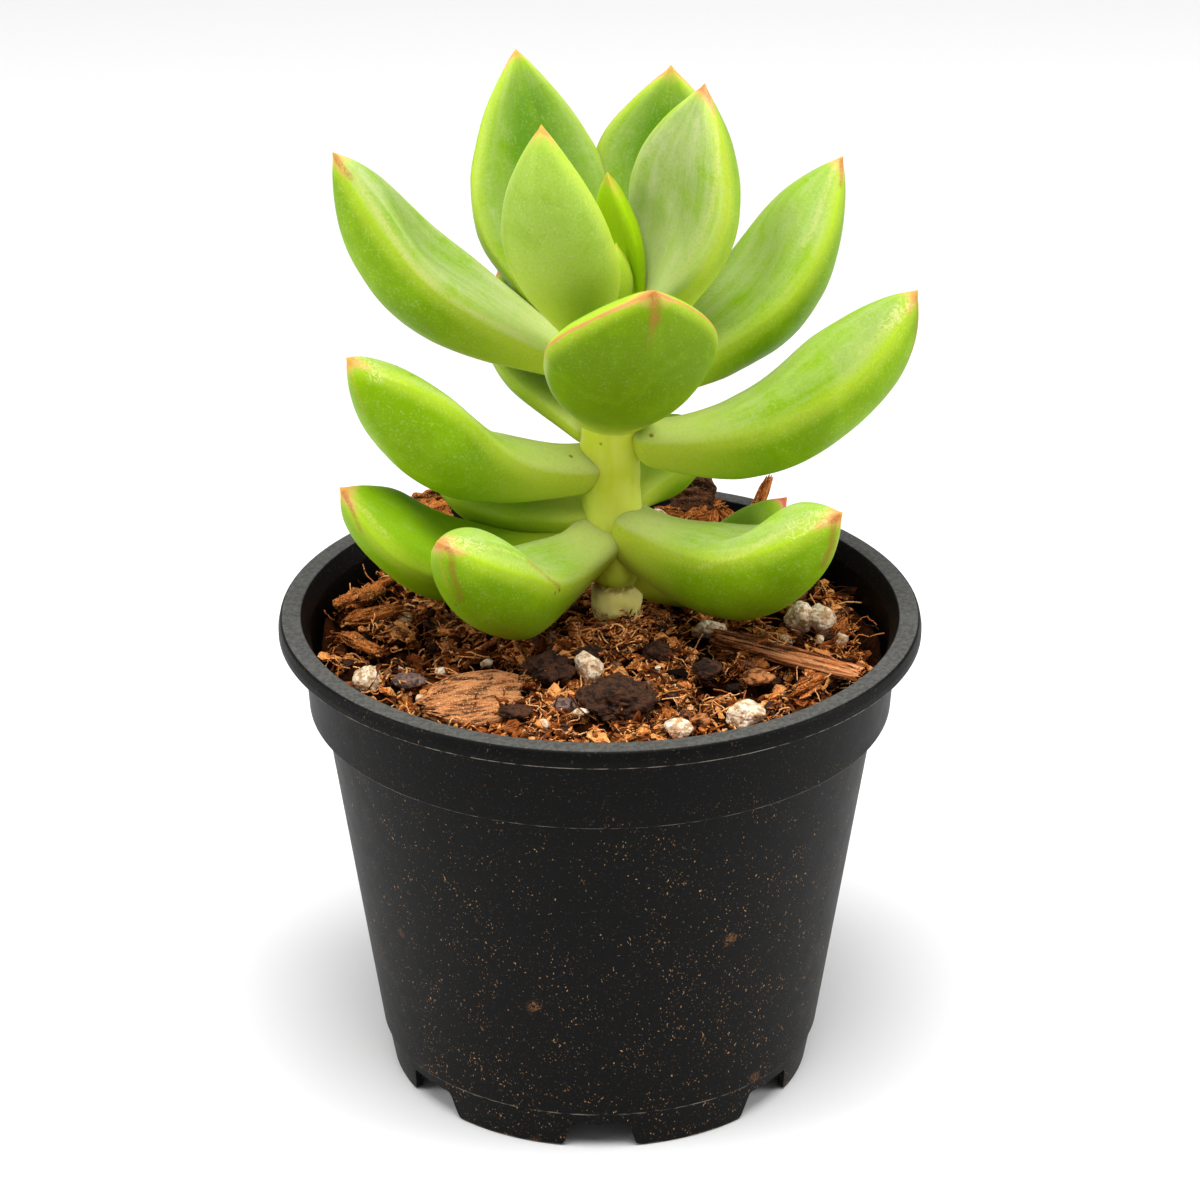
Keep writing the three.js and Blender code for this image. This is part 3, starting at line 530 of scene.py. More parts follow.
class Graph:
    """A node tree, filled by one method that adds a node of any kind."""

    def __init__(self, tree):
        self.tree = tree

    def node(self, kind, settings=None, sockets=None, out=0):
        made = self.tree.nodes.new(kind)
        for name, value in (settings or {}).items():
            setattr(made, name, value)
        for name, value in (sockets or {}).items():
            if isinstance(value, Wire):
                self.tree.links.new(value.socket, made.inputs[name])
            else:
                made.inputs[name].default_value = value
        return Wire(self, made.outputs[out]) if made.outputs else made

    def attribute(self, name, out="Fac"):
        return self.node("ShaderNodeAttribute", {"attribute_name": name}, out=out)

    def place(self):
        return self.node("ShaderNodeTexCoord", out="Object")

    def part(self, vector, axis):
        return self.node("ShaderNodeSeparateXYZ", sockets={0: vector}, out=axis)

    def ease(self, value, low, high):
        """0 below low, 1 above high and smooth between; the other way round if low is higher."""
        ends = {"Value": value, "From Min": low, "From Max": high}
        return self.node("ShaderNodeMapRange", {"interpolation_type": "SMOOTHSTEP"}, ends)

    def blend(self, share, first, second):
        colours = [c if isinstance(c, Wire) else (*c, 1) for c in (first, second)]
        sockets = {0: share, 6: colours[0], 7: colours[1]}
        return self.node("ShaderNodeMix", {"data_type": "RGBA"}, sockets, out=2)

    def noise(self, where, size, detail=2.0, distortion=0.0):
        sockets = {"Vector": where, "Scale": 1 / (size * MM), "Detail": detail, "Distortion": distortion}
        return self.node("ShaderNodeTexNoise", sockets=sockets)

    def cells(self, where, size, out="Distance"):
        sockets = {"Vector": where, "Scale": 1 / (size * MM)}
        return self.node("ShaderNodeTexVoronoi", sockets=sockets, out=out)

    def stretched(self, where, scale):
        return self.node("ShaderNodeMapping", sockets={"Vector": where, "Scale": scale})

    def bump(self, height, depth, strength=1.0):
        sockets = {"Height": height, "Distance": depth * MM, "Strength": strength}
        return self.node("ShaderNodeBump", sockets=sockets)


def new_finish(name, describe, **constants):
    """A material whose surface is worked out by describe from its graph."""
    material = bpy.data.materials.new(name)
    material.use_nodes = True
    material.node_tree.nodes.clear()
    graph = Graph(material.node_tree)
    varying = describe(graph)
    surface = graph.node("ShaderNodeBsdfPrincipled", sockets={**constants, **varying})
    graph.node("ShaderNodeOutputMaterial", sockets={"Surface": surface})
    return material


# Materials

def leaf_surface(graph):
    """Green skin, waxy above and deeper below with painted shade where set, with a light foot that is
    partly painted light, a warm tip and its marks.
    """
    where = graph.place()
    along = graph.attribute("along")
    from_tip = graph.attribute("from_tip")
    rise = graph.attribute("rise")
    across = graph.attribute("across")
    edge = graph.attribute("edge")
    patch = graph.noise(where, 9, 1.5)
    mottle = graph.noise(where, 1.6, 3)
    fine = graph.noise(where, 0.34, 2)
    blotch = graph.noise(where, 3.6, 2, 0.6)
    own = {0: across * 0.009, 1: along * 0.006, 2: rise * 0.006}
    lengthwise = graph.node("ShaderNodeCombineXYZ", sockets=own)
    streak = graph.noise(lengthwise, 2.0, 3, 0.4)
    thin_streak = graph.noise(lengthwise, 0.7, 3, 0.6)
    upper = graph.ease(rise, -0.04, 0.25)
    below = graph.blend(graph.ease(patch + 0.35 * mottle, 0.5, 0.85), LEAF_DEEP, LEAF_MIDDLE)
    # Painted shade: the lower face darkened towards LEAF_SHADE where a leaf is set to lie out of the light
    below = graph.blend(graph.attribute("painted_shade"), below, LEAF_SHADE)
    sage = graph.attribute("sage") * graph.ease(along + 0.3 * (patch - 0.5), 0.15, 0.55)
    below = graph.blend(sage * 0.9, below, LEAF_SAGE)
    waxy = graph.attribute("bloom") * graph.ease(0.55 * streak + 0.5 * blotch + 0.4 * patch, 0.46, 0.98)
    above = graph.blend(graph.attribute("heart") * 0.8, LEAF_MIDDLE, LEAF_DEEP)
    above = graph.blend(waxy, above, LEAF_WAXY)
    heart = graph.ease(abs(across), 0.85, 0.2) * graph.ease(along, 0.2, 0.45) * graph.ease(along, 0.98, 0.8)
    heart = heart * graph.attribute("heart") * graph.ease(patch + 0.3 * streak, 0.25, 0.60)
    above = graph.blend(heart * 0.9, above, LEAF_HEART)
    colour = graph.blend(upper, below, above)
    darker = graph.ease(blotch + 0.3 * (mottle - 0.5), 0.48, 0.72)
    colour = graph.blend(darker * 0.38, colour, LEAF_DEEP)
    colour = graph.blend(graph.ease(thin_streak, 0.58, 0.74) * upper * 0.14, colour, LEAF_WAXY)
    colour = graph.blend(graph.ease(edge, 2.6, 0.2) * 0.35, colour, LEAF_PALE)
    # The light foot: partly the leaf's own paler foot, partly painted light where the foot lies in shade,
    # with a painted milky sheen where the upper face is waxy
    foot = graph.blend(graph.attribute("bloom") * upper * 0.7, LEAF_PALE, LEAF_MILKY_SHEEN)
    lit_pale_foot = graph.ease(along + 0.1 * patch, graph.attribute("pale"), 0.04)
    colour = graph.blend(lit_pale_foot * 0.82, colour, foot)
    colour = graph.blend(graph.attribute("youth") * 0.8, colour, LEAF_YELLOW)
    colour = graph.blend(graph.ease(fine, 0.5, 0.3) * 0.12, colour, LEAF_SHADE)
    speck = graph.ease(fine, 0.52, 0.7) * graph.ease(mottle, 0.3, 0.6)
    colour = graph.blend(speck * (0.08 + 0.22 * graph.attribute("bloom")), colour, LEAF_WAXY)
    blush = graph.attribute("blush")
    rosy = graph.attribute("rosy")
    line = graph.ease(edge + 0.5 * (fine - 0.5), 0.40, 0.12) * graph.ease(from_tip + 10 * mottle, 30, 10)
    colour = graph.blend(line * 0.45, colour, LEAF_YELLOW)
    pink_line = graph.ease(edge + 0.5 * (mottle - 0.5), 0.38, 0.10)
    pink_line = pink_line * graph.ease(from_tip + 6 * mottle, 27, 14)
    colour = graph.blend(pink_line * rosy * 0.8, colour, MARGIN_PINK)
    keel = graph.ease(abs(across), 0.13, 0.02) * graph.ease(rise, 0.0, -0.3)
    reddened = graph.ease(from_tip + 4 * mottle, 10, 3.5)
    colour = graph.blend(keel * reddened * blush * (1 - graph.attribute("sage")) * 0.5, colour, TIP_RED)
    warm = graph.ease(from_tip + 3 * patch + 2 * mottle, 6.5, 2.4)
    colour = graph.blend(warm * blush * 0.5, colour, LEAF_YELLOW)
    near_edge = graph.ease(edge, 0.9, 0.15)
    hot = graph.ease(from_tip + 2.4 * (mottle - 0.5) - 1.6 * near_edge, 2.2, 0.6)
    colour = graph.blend(hot * blush * 0.9, colour, TIP_ORANGE)
    point = graph.ease(from_tip + 1.4 * (mottle - 0.5) - 0.8 * near_edge, 1.1, 0.2)
    colour = graph.blend(point * blush * 0.8, colour, TIP_RED)
    scratch = graph.noise(where, 1.5, 3, 1.5)
    cork = graph.attribute("scar") * graph.ease(abs(scratch - 0.5), 0.05, 0.0)
    colour = graph.blend(cork * 0.5, colour, CORK)
    worn = graph.ease(fine + 0.3 * mottle, 0.45, 0.75)
    colour = graph.blend(graph.attribute("light_line") * (0.05 + 0.2 * worn), colour, LINE_YELLOW)
    colour = graph.blend(graph.attribute("red_line") * (0.12 + 0.45 * worn), colour, KEEL_RED)
    spot = graph.ease(graph.attribute("spot") + 0.4 * (fine - 0.5), 0.25, 0.55)
    colour = graph.blend(spot * 0.7, colour, SPOT_BROWN)
    height = fine * 0.5 + mottle * 0.4 + cork * 0.6 - spot * 0.5
    roughness = 0.38 + 0.12 * mottle + 0.14 * upper + 0.2 * cork
    return {"Base Color": colour, "Roughness": roughness, "Normal": graph.bump(height, 0.05, 0.7)}


def stem_surface(graph):
    """Smooth green skin over a pale callused foot with a brown ring at its top."""
    where = graph.place()
    height = graph.part(where, 2) * (1 / MM)
    patch = graph.noise(where, 5, 2)
    fine = graph.noise(where, 0.5, 3)
    vertical = graph.noise(graph.stretched(where, (1, 1, 0.15)), 0.9, 2)
    colour = graph.blend(graph.ease(patch + 0.4 * vertical, 0.5, 0.9), STEM_GREEN, STEM_LIGHT)
    colour = graph.blend(graph.ease(height, *STEM_SHADED) * 0.5, colour, STEM_SHADE)
    foot = graph.ease(height + 1.5 * (patch - 0.5), *CALLUSED)
    colour = graph.blend(foot, colour, CALLUS)
    ring = graph.ease(abs(height - FOOT_RING + 1.0 * (patch - 0.5)), 0.6, 0.1)
    torn = foot * graph.ease(graph.noise(where, 1.6, 4), 0.5, 0.6)
    torn = torn * graph.ease(abs(height - UNTORN), 0.8, 2.0)
    colour = graph.blend(ring * graph.ease(fine, 0.3, 0.6) * 0.8, colour, FOOT_RING_BROWN)
    colour = graph.blend(torn * 0.75, colour, TORN_BROWN)
    dirty = graph.ease(height + 0.3 / MM * graph.part(where, 0) + 1.2 * patch, *STAINED)
    colour = graph.blend(dirty * (0.35 + 0.5 * graph.ease(fine, 0.4, 0.6)), colour, DIRT_BROWN)
    speck = graph.ease(fine, 0.68, 0.76)
    colour = graph.blend(speck * 0.3, colour, CORK)
    colour = graph.blend(graph.ease(graph.attribute("spot"), 0.3, 0.7) * 0.6, colour, SPOT_BROWN)
    bump = graph.bump(fine * 0.3 + vertical * 0.5 + torn, 0.12, 0.7)
    return {"Base Color": colour, "Roughness": 0.42 + 0.2 * fine + 0.2 * foot, "Normal": bump}


def pot_surface(graph):
    """Black plastic with a painted grey sheen in patches on the rim's top, flecked with soil and dusty on
    its edges.
    """
    where = graph.place()
    height = graph.part(where, 2) * (1 / MM)
    outer = graph.attribute("outer")
    mottle = graph.noise(where, 3, 4)
    fine = graph.noise(where, 0.4, 3)
    upward = graph.part(graph.node("ShaderNodeNewGeometry", out="Normal"), 2)
    # Painted sheen: the rim's upward-facing top made grey, in noisy patches, where light glances off it
    top = graph.ease(height, POT_HEIGHT - 1.2, POT_HEIGHT - 0.3) * graph.ease(upward, 0.80, 0.97)
    colour = graph.blend(0.2 * mottle, PLASTIC_BLACK, PLASTIC_GREY)
    sheen_patches = graph.ease(graph.noise(where, 0.6, 4), 0.35, 0.65)
    colour = graph.blend((0.62 + 0.38 * sheen_patches) * top, colour, RIM_SHEEN_GREY)
    low = graph.ease(height, 60, 10)
    clusters = graph.ease(graph.noise(where, 5, 4, 0.5) + 0.08 * low, 0.48, 0.68)
    tone = graph.ease(graph.noise(where, 0.9, 2), 0.35, 0.65)
    leaning = {"Vector": where, "Rotation": (0.0, 0.6, 0.0), "Scale": (1.0, 1.0, 0.6)}
    slant = graph.node("ShaderNodeMapping", sockets=leaning)
    tiny = graph.ease(graph.noise(slant, 0.25, 2) + 0.045 * clusters, 0.700, 0.744)
    small = graph.ease(graph.noise(slant, 0.55, 4) + 0.04 * clusters, 0.738, 0.773)
    flecks = graph.node("ShaderNodeMath", {"operation": "MAXIMUM"}, {0: tiny, 1: small})
    under_collar = 0.25 + 0.75 * graph.ease(height, 60, 52)
    fleck_colour = graph.blend(tone, FLECK_BROWN, FLECK_TAN)
    colour = graph.blend(flecks * outer * under_collar * 0.9, colour, fleck_colour)
    hue = graph.cells(where, 4.5, "Color")
    large = graph.cells(where, 4.5) + 0.9 * (fine - 0.5)
    rare = graph.ease(graph.part(hue, 0) + 0.04 * low, 0.96, 0.98)
    blots = rare * graph.ease(large, 0.30, 0.22) * graph.ease(fine, 0.40, 0.55)
    blots = blots * outer * graph.ease(height, 58, 56)
    colour = graph.blend(blots * 0.6, colour, FLECK_BROWN)
    edges = 0.0
    for level, start, full, strength in DUSTY_EDGES:
        edges = edges + graph.ease(abs(height - level), start, full) * strength
    dusty = edges * outer * graph.ease(graph.noise(where, 1.8, 4), 0.40, 0.62)
    colour = graph.blend(dusty * 0.65, colour, DUST)
    grime = graph.ease(graph.noise(where, 0.35, 2), 0.62, 0.74) * (0.06 + 0.22 * top)
    colour = graph.blend(grime, colour, DUST)
    bump = graph.bump(fine * 0.4 + mottle * 0.4 + flecks + blots, 0.1, 0.5)
    return {"Base Color": colour, "Roughness": 0.42 + 0.14 * mottle + 0.2 * flecks, "Normal": bump}


def soil_surface(graph):
    """Dark soil between the loose pieces, near black as painted shade in the gaps, browner in patches."""
    where = graph.place()
    patch = graph.noise(where, 4, 3)
    fine = graph.noise(where, 0.5, 4)
    # The near black here is painted shade of the gaps between the loose pieces
    colour = graph.blend(graph.ease(patch + 0.5 * fine, 0.5, 1.0), SOIL_SHADE_BLACK, SOIL_BROWN)
    bump = graph.bump(fine + 0.6 * patch, 0.5)
    return {"Base Color": colour, "Roughness": 0.88 + 0.1 * fine, "Normal": bump}


def bark_surface(dark, middle, light, pale, streaked=0):
    """Bark whose grain runs along the piece's own length, with a tone for each piece."""
    def describe(graph):
        own = graph.attribute("grain", "Vector")
        tone = graph.attribute("tone")
        grain = graph.noise(graph.stretched(own, (0.12, 1, 1)), 0.45, 4)
        flaky = graph.noise(graph.stretched(own, (0.3, 1, 1)), 1.8, 3)
        fine = graph.noise(own, 0.25, 3)
        body = tone + 0.7 * (flaky - 0.5)
        colour = graph.blend(graph.ease(body, 0.0, 0.4), dark, middle)
        colour = graph.blend(graph.ease(body, 0.4, 0.85), colour, light)
        crack = graph.ease(graph.noise(graph.stretched(own, (0.1, 1, 1)), 1.3, 2), 0.40, 0.34)
        colour = graph.blend(graph.ease(grain, 0.48, 0.36) * 0.8, colour, dark)
        colour = graph.blend(crack * 0.85, colour, dark)
        colour = graph.blend(graph.ease(graph.attribute("pit"), 0.62, 0.98) * 0.8, colour, dark)
        colour = graph.blend(graph.ease(fine + 0.5 * tone, 0.80, 1.02) * 0.7, colour, pale)
        height = grain + 0.5 * flaky + 0.2 * fine - crack
        if streaked:
            streak = graph.noise(graph.stretched(own, (0.03, 1, 1)), 0.55, 2)
            colour = graph.blend(graph.ease(streak, 0.47, 0.40) * streaked, colour, dark)
            colour = graph.blend(graph.ease(streak, 0.53, 0.62) * streaked * 0.8, colour, pale)
            height = height + streak
        bump = graph.bump(height, 0.4, 0.9)
        return {"Base Color": colour, "Roughness": 0.78 + 0.15 * fine, "Normal": bump}
    return describe


def perlite_surface(graph):
    """Porous cream grains with brown stains in their hollows."""
    where = graph.place()
    patch = graph.noise(where, 1.4, 3)
    pores = graph.cells(where, 0.5)
    fine = graph.noise(where, 0.2, 3)
    colour = graph.blend(graph.ease(patch, 0.35, 0.7), PERLITE_CREAM, PERLITE_WHITE)
    pit = graph.attribute("pit")
    stain = graph.ease(graph.noise(where, 0.7, 4) + 0.25 * pit, 0.56, 0.72)
    colour = graph.blend(stain * 0.8, colour, PERLITE_STAIN)
    bump = graph.bump(fine * 0.4 + pores * 0.8 + patch * 0.6, 0.25, 0.9)
    return {"Base Color": colour, "Roughness": 0.8 + 0.1 * fine, "Normal": bump}


def floor_surface(graph):
    """A plain pale floor."""
    fine = graph.noise(graph.place(), 4, 2)
    return {"Base Color": FLOOR_WHITE, "Roughness": 0.85 + 0.05 * fine}


FINISHES = {
    "leaf": new_finish("leaf_skin", leaf_surface, **{
        "Subsurface Weight": 0.5, "Subsurface Radius": (0.7, 1.0, 0.06), "Subsurface Scale": 0.003,
        "Specular IOR Level": 0.08}),
    "stem": new_finish("stem_skin", stem_surface, **{
        "Subsurface Weight": 0.5, "Subsurface Radius": (0.8, 1.0, 0.1), "Subsurface Scale": 0.003,
        "Specular IOR Level": 0.08}),
    "pot_plastic": new_finish("black_plastic", pot_surface, **{"Specular IOR Level": 0.07}),
    "soil": new_finish("dark_soil_in_shade", soil_surface, **{"Specular IOR Level": 0.03}),
    "perlite": new_finish("perlite_grain", perlite_surface, **{
        "Subsurface Weight": 0.2, "Subsurface Radius": (1, 1, 0.8), "Subsurface Scale": 0.0006}),
}
for bark_kind, (bark_label, *bark_shades, bark_gloss, bark_streaks) in BARK_COLOURS.items():
    bark_look = bark_surface(*bark_shades, bark_streaks)
    FINISHES[bark_kind] = new_finish(bark_label, bark_look, **{"Specular IOR Level": bark_gloss})


# Meshes

def new_piece(name, mesh, finish, stands_for=None, smooth=True):
    """Adds a finished mesh as a piece on the plant's one body."""
    piece = bpy.data.objects.new(name, mesh)
    bpy.context.scene.collection.objects.link(piece)
    mesh.materials.clear()
    mesh.materials.append(FINISHES[finish])
    if smooth:
        mesh.shade_smooth()
    if stands_for:
        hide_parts(stands_for)
    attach(piece, BODY)
    return piece


def skin_over(name, rings, start, end):
    """A closed mesh over rings of points, given as an array of rings by sides by 3."""
    count, sides = rings.shape[:2]
    points = np.concatenate([[start], rings.reshape(-1, 3), [end]]) * MM
    side = np.arange(sides)
    following = (side + 1) % sides
    faces = []
    for ring in range(count - 1):
        here = 1 + ring * sides
        above = here + sides
        faces += np.stack([here + side, here + following, above + following, above + side], 1).tolist()
    last = 1 + (count - 1) * sides
    faces += np.stack([np.zeros_like(side), 1 + following, 1 + side], 1).tolist()
    faces += np.stack([last + side, last + following, np.full_like(side, len(points) - 1)], 1).tolist()
    mesh = bpy.data.meshes.new(name)
    mesh.from_pydata(points.tolist(), [], faces)
    mesh.update()
    return mesh


def give_values(mesh, **values):
    """Stores one number, or one vector, for each point of a mesh."""
    for name, value in values.items():
        array = np.asarray(value, dtype=np.float32)
        if array.ndim == 2:
            mesh.attributes.new(name, "FLOAT_VECTOR", "POINT").data.foreach_set("vector", array.ravel())
        else:
            spread = np.ascontiguousarray(np.broadcast_to(array, len(mesh.vertices)))
            mesh.attributes.new(name, "FLOAT", "POINT").data.foreach_set("value", spread)


def smoothstep(value, low, high):
    share = np.clip((value - low) / (high - low), 0, 1)
    return share * share * (3 - 2 * share)


def fractal(points, size, octaves=3):
    """Smooth noise from about -1 to 1 at each point, with waves of that size."""
    return np.array([noise.fractal(Vector(p) / size, 1.0, 2.0, octaves) for p in points])


# Pot

def rounded(corners):
    """A profile of radius, height and corner radius, with its corners rounded off."""
    points = []
    for index, (radius, height, fillet) in enumerate(corners):
        here = Vector((radius, height))
        if fillet == 0:
            points.append(here)
            continue
        before = Vector(corners[index - 1][:2]) - here
        after = Vector(corners[index + 1][:2]) - here
        half = before.angle(after) / 2
        reach = min(fillet / math.tan(half), 0.48 * before.length, 0.48 * after.length)
        first = here + before.normalized() * reach
        last = here + after.normalized() * reach
        for step in range(FILLET_STEPS + 1):
            share = step / FILLET_STEPS
            points.append(first.lerp(here, share).lerp(here.lerp(last, share), share))
    return points


def pot_profile():
    rim_foot = POT_HEIGHT - RIM_DEPTH
    return rounded([
        (0, FLOOR_UNDERSIDE, 0),
        (FOOT_TOP_RADIUS - WALL - 0.4, FLOOR_UNDERSIDE, 0.3),
        (FOOT_RADIUS - WALL, 0, 0.3),
        (FOOT_RADIUS, 0, 0.35),
        (FOOT_TOP_RADIUS, LEDGE_HEIGHT, 0.1),
        (BODY_FOOT_RADIUS, LEDGE_HEIGHT + 0.3, 0.15),
        (BODY_TOP_RADIUS, COLLAR_FOOT_HEIGHT, 0.3),
        (COLLAR_FOOT_RADIUS, COLLAR_FOOT_HEIGHT, 0.4),
        (COLLAR_RADIUS, rim_foot, 0.4),
        (RIM_RADIUS + 0.2, rim_foot, 0.2),
        (RIM_RADIUS + 0.2, rim_foot + 1, 0.5),
        (RIM_RADIUS - 0.1, POT_HEIGHT, 0.7),
        (RIM_INNER_RADIUS, POT_HEIGHT, 0.5),
        (COLLAR_RADIUS - WALL, rim_foot, 0.8),
        (COLLAR_FOOT_RADIUS - WALL, COLLAR_FOOT_HEIGHT + WALL, 0.5),
        (BODY_TOP_RADIUS - WALL, COLLAR_FOOT_HEIGHT - WALL, 0.5),
        (BODY_FOOT_RADIUS - WALL, FLOOR_TOP + 1, 0.5),
        (BODY_FOOT_RADIUS - WALL - 1, FLOOR_TOP, 0.4),
        (0, FLOOR_TOP, 0),
    ])


def turned(name, profile, segments):
    """A closed turned mesh from a profile whose two ends are on the axis."""
    angles = np.arange(segments) / segments * 2 * math.pi
    rings = np.array([[(p.x * math.cos(a), p.x * math.sin(a), p.y) for a in angles] for p in profile[1:-1]])
    return skin_over(name, rings, (0, 0, profile[0].y), (0, 0, profile[-1].y))


def notch_cutter():
    """All notches between the feet, each a closed prism pointing outwards."""
    top = NOTCH_TOP_WIDTH / 2
    foot = NOTCH_FOOT_WIDTH / 2
    half = rounded([
        (foot + 3, -1, 0),
        (foot + 3, -0.02, 0),
        (foot, 0, NOTCH_FLARE),
        (top, NOTCH_HEIGHT, 0.7),
        (0, NOTCH_HEIGHT, 0),
    ])
    outline = [(p.x, p.y) for p in half] + [(-p.x, p.y) for p in reversed(half[:-1])]
    inner = FOOT_RADIUS - DRAIN_REACH
    outer = BODY_FOOT_RADIUS + 1
    shape = bmesh.new()
    for step in range(FOOT_COUNT):
        turn = Matrix.Rotation(2 * math.pi * step / FOOT_COUNT, 4, "Z")
        ends = []
        for reach in (inner, outer):
            ends.append([shape.verts.new(turn @ Vector((x, -reach, z)) * MM) for x, z in outline])
        shape.faces.new(ends[0])
        shape.faces.new(list(reversed(ends[1])))
        for index in range(len(outline)):
            after = (index + 1) % len(outline)
            shape.faces.new((ends[0][after], ends[0][index], ends[1][index], ends[1][after]))
    bmesh.ops.recalc_face_normals(shape, faces=shape.faces)
    mesh = bpy.data.meshes.new("notches")
    shape.to_mesh(mesh)
    shape.free()
    return mesh


def cut(mesh, cutter):
    """The mesh with the cutter taken out of it, as a new mesh."""
    body = bpy.data.objects.new("body", mesh)
    tool = bpy.data.objects.new("tool", cutter)
    for thing in (body, tool):
        bpy.context.scene.collection.objects.link(thing)
    boolean = body.modifiers.new("cut", "BOOLEAN")
    boolean.operation = "DIFFERENCE"
    boolean.solver = "EXACT"
    boolean.object = tool
    depsgraph = bpy.context.evaluated_depsgraph_get()
    result = bpy.data.meshes.new_from_object(body.evaluated_get(depsgraph))
    for thing in (body, tool):
        bpy.data.objects.remove(thing)
    return result


def make_pot():
    mesh = cut(turned("pot", pot_profile(), POT_SEGMENTS), notch_cutter())
    mesh.shade_smooth()
    mesh.set_sharp_from_angle(angle=math.radians(POT_SHARP_ANGLE))
    outer = []
    for vert in mesh.vertices:
        radius = math.hypot(vert.co.x, vert.co.y) / MM
        height = vert.co.z / MM
        wall = np.interp(height, *zip(*POT_WALL))
        outer.append(1.0 if radius > wall - OUTSIDE_DEPTH else 0.0)
    give_values(mesh, outer=outer)
    new_piece("nursery_pot", mesh, "pot_plastic", "pot", smooth=False)


# Soil

def soil_height(x, y):
    heap = SOIL_LEVEL + SOIL_BACK_SLOPE * y
    swell = np.sin(0.21 * x + 1.3) * np.cos(0.19 * y - 0.4)
    crumbs = np.sin(0.83 * x + 0.37 * y) + np.cos(0.71 * y - 0.45 * x + 2)
    return heap + SOIL_SWELL * swell + SOIL_CRUMB * crumbs


def crumbly(x, y, size):
    """Relief of round crumbs of that size, 0 in the gaps and 1 on top."""
    near = noise.voronoi(Vector((x, y, 0.0)) / size)[0]
    return min(1.0, near[1] - near[0])


def rough_ground(x, y):
    """Mounds and hollows of the loose soil over its plain heap."""
    heaps = 0
    for at_x, at_y, high, wide in HEAPS:
        heaps += high * math.exp(-((x - at_x) ** 2 + (y - at_y) ** 2) / wide ** 2)
    mounds = MOUND_RISE * noise.noise(Vector((x, y, 5.0)) / MOUND_SIZE)
    return mounds + CRUMB_RISE * crumbly(x, y, CRUMB_SIZE) - GROUND_DROP + heaps


def make_soil():
    angles = np.arange(SOIL_SEGMENTS) / SOIL_SEGMENTS * 2 * math.pi
    sides = ((BODY_FOOT_RADIUS - 2.5, SOIL_FOOT_HEIGHT), (BODY_FOOT_RADIUS - 1.5, SOIL_FOOT_HEIGHT + 1),
             (BODY_TOP_RADIUS - 1.5, COLLAR_FOOT_HEIGHT - 1.4), (SOIL_RADIUS, COLLAR_FOOT_HEIGHT + 1.1))
    rings = [[(r * math.cos(a), r * math.sin(a), z) for a in angles] for r, z in sides]
    for ring in range(SOIL_RINGS, 0, -1):
        radius = SOIL_RADIUS * ring / SOIL_RINGS
        row = []
        for angle in angles:
            x = radius * math.cos(angle)
            y = radius * math.sin(angle)
            relief = rough_ground(x, y) + FINE_CRUMB_RISE * crumbly(x + 40, y, FINE_CRUMB_SIZE)
            row.append((x, y, float(soil_height(x, y)) - SOIL_SINK + relief))
        rings.append(row)
    middle = (0, 0, float(soil_height(0, 0)) - SOIL_SINK)
    mesh = skin_over("soil", np.array(rings), (0, 0, SOIL_FOOT_HEIGHT), middle)
    new_piece("soil_bed", mesh, "soil", "soil")


def scatter_ground(name, outer, middle=(0, 0)):
    """A plain round of soil surface, open at the stem, that loose pieces are strewn on."""
    shape = bmesh.new()
    bmesh.ops.create_grid(shape, x_segments=GROUND_SQUARES, y_segments=GROUND_SQUARES, size=outer * MM)
    for vert in list(shape.verts):
        x = vert.co.x / MM
        y = vert.co.y / MM
        far = math.hypot(x, y)
        x += middle[0]
        y += middle[1]
        apart = math.hypot(x - STEM_FOOT_X, y - STEM_Y)
        if far > outer or apart < STREWN_CLEAR:
            shape.verts.remove(vert)
        else:
            vert.co = Vector((x, y, float(soil_height(x, y)) + rough_ground(x, y))) * MM
    mesh = bpy.data.meshes.new(name)
    shape.to_mesh(mesh)
    shape.free()
    return mesh


def new_scatter(name):
    """A Geometry Nodes tree with its inputs, a graph to fill it, and a way to reach an input."""
    tree = bpy.data.node_groups.new(name, "GeometryNodeTree")
    for label, kind in (("Ground", "Geometry"), ("Density", "Float"), ("Smallest", "Vector"),
                        ("Largest", "Vector"), ("Tilt", "Float"), ("Raggedness", "Float"),
                        ("Wave", "Float"), ("Sink", "Float"), ("Seed", "Int"), ("Finish", "Material")):
        tree.interface.new_socket(label, in_out="INPUT", socket_type="NodeSocket" + kind)
    tree.interface.new_socket("Pieces", in_out="OUTPUT", socket_type="NodeSocketGeometry")
    graph = Graph(tree)
    source = tree.nodes.new("NodeGroupInput")

    def given(label):
        return Wire(graph, source.outputs[label])

    return tree, graph, given


def scatter_points(graph, given):
    """Random points on the ground, in clumps, with a random turn, tilt and size for each."""
    clumps = graph.node("ShaderNodeTexNoise", sockets={"Scale": CLUMPING, "Detail": 2.0})
    density = given("Density") * graph.ease(clumps, 0.40, 0.60)
    spread = {"Mesh": given("Ground"), "Density": density, "Seed": given("Seed")}
    points = graph.node("GeometryNodeDistributePointsOnFaces", sockets=spread)
    low = {0: given("Tilt") * -1, 1: given("Tilt") * -1, 2: 0.0}
    high = {0: given("Tilt"), 1: given("Tilt"), 2: 2 * math.pi}
    low = graph.node("ShaderNodeCombineXYZ", sockets=low)
    high = graph.node("ShaderNodeCombineXYZ", sockets=high)
    vector = {"data_type": "FLOAT_VECTOR"}
    turn = graph.node("FunctionNodeRandomValue", vector, {0: low, 1: high, "Seed": given("Seed") + 3})
    turn = graph.node("FunctionNodeEulerToRotation", sockets={0: turn})
    sizes = {0: given("Smallest"), 1: given("Largest"), "Seed": given("Seed") + 5}
    return points, turn, graph.node("FunctionNodeRandomValue", vector, sizes)


def stored(graph, pieces, name, value, kind, domain):
    """Keeps a value on the pieces for their material to read."""
    sockets = {"Geometry": pieces, "Name": name, "Value": value}
    return graph.node("GeometryNodeStoreNamedAttribute", {"data_type": kind, "domain": domain}, sockets)


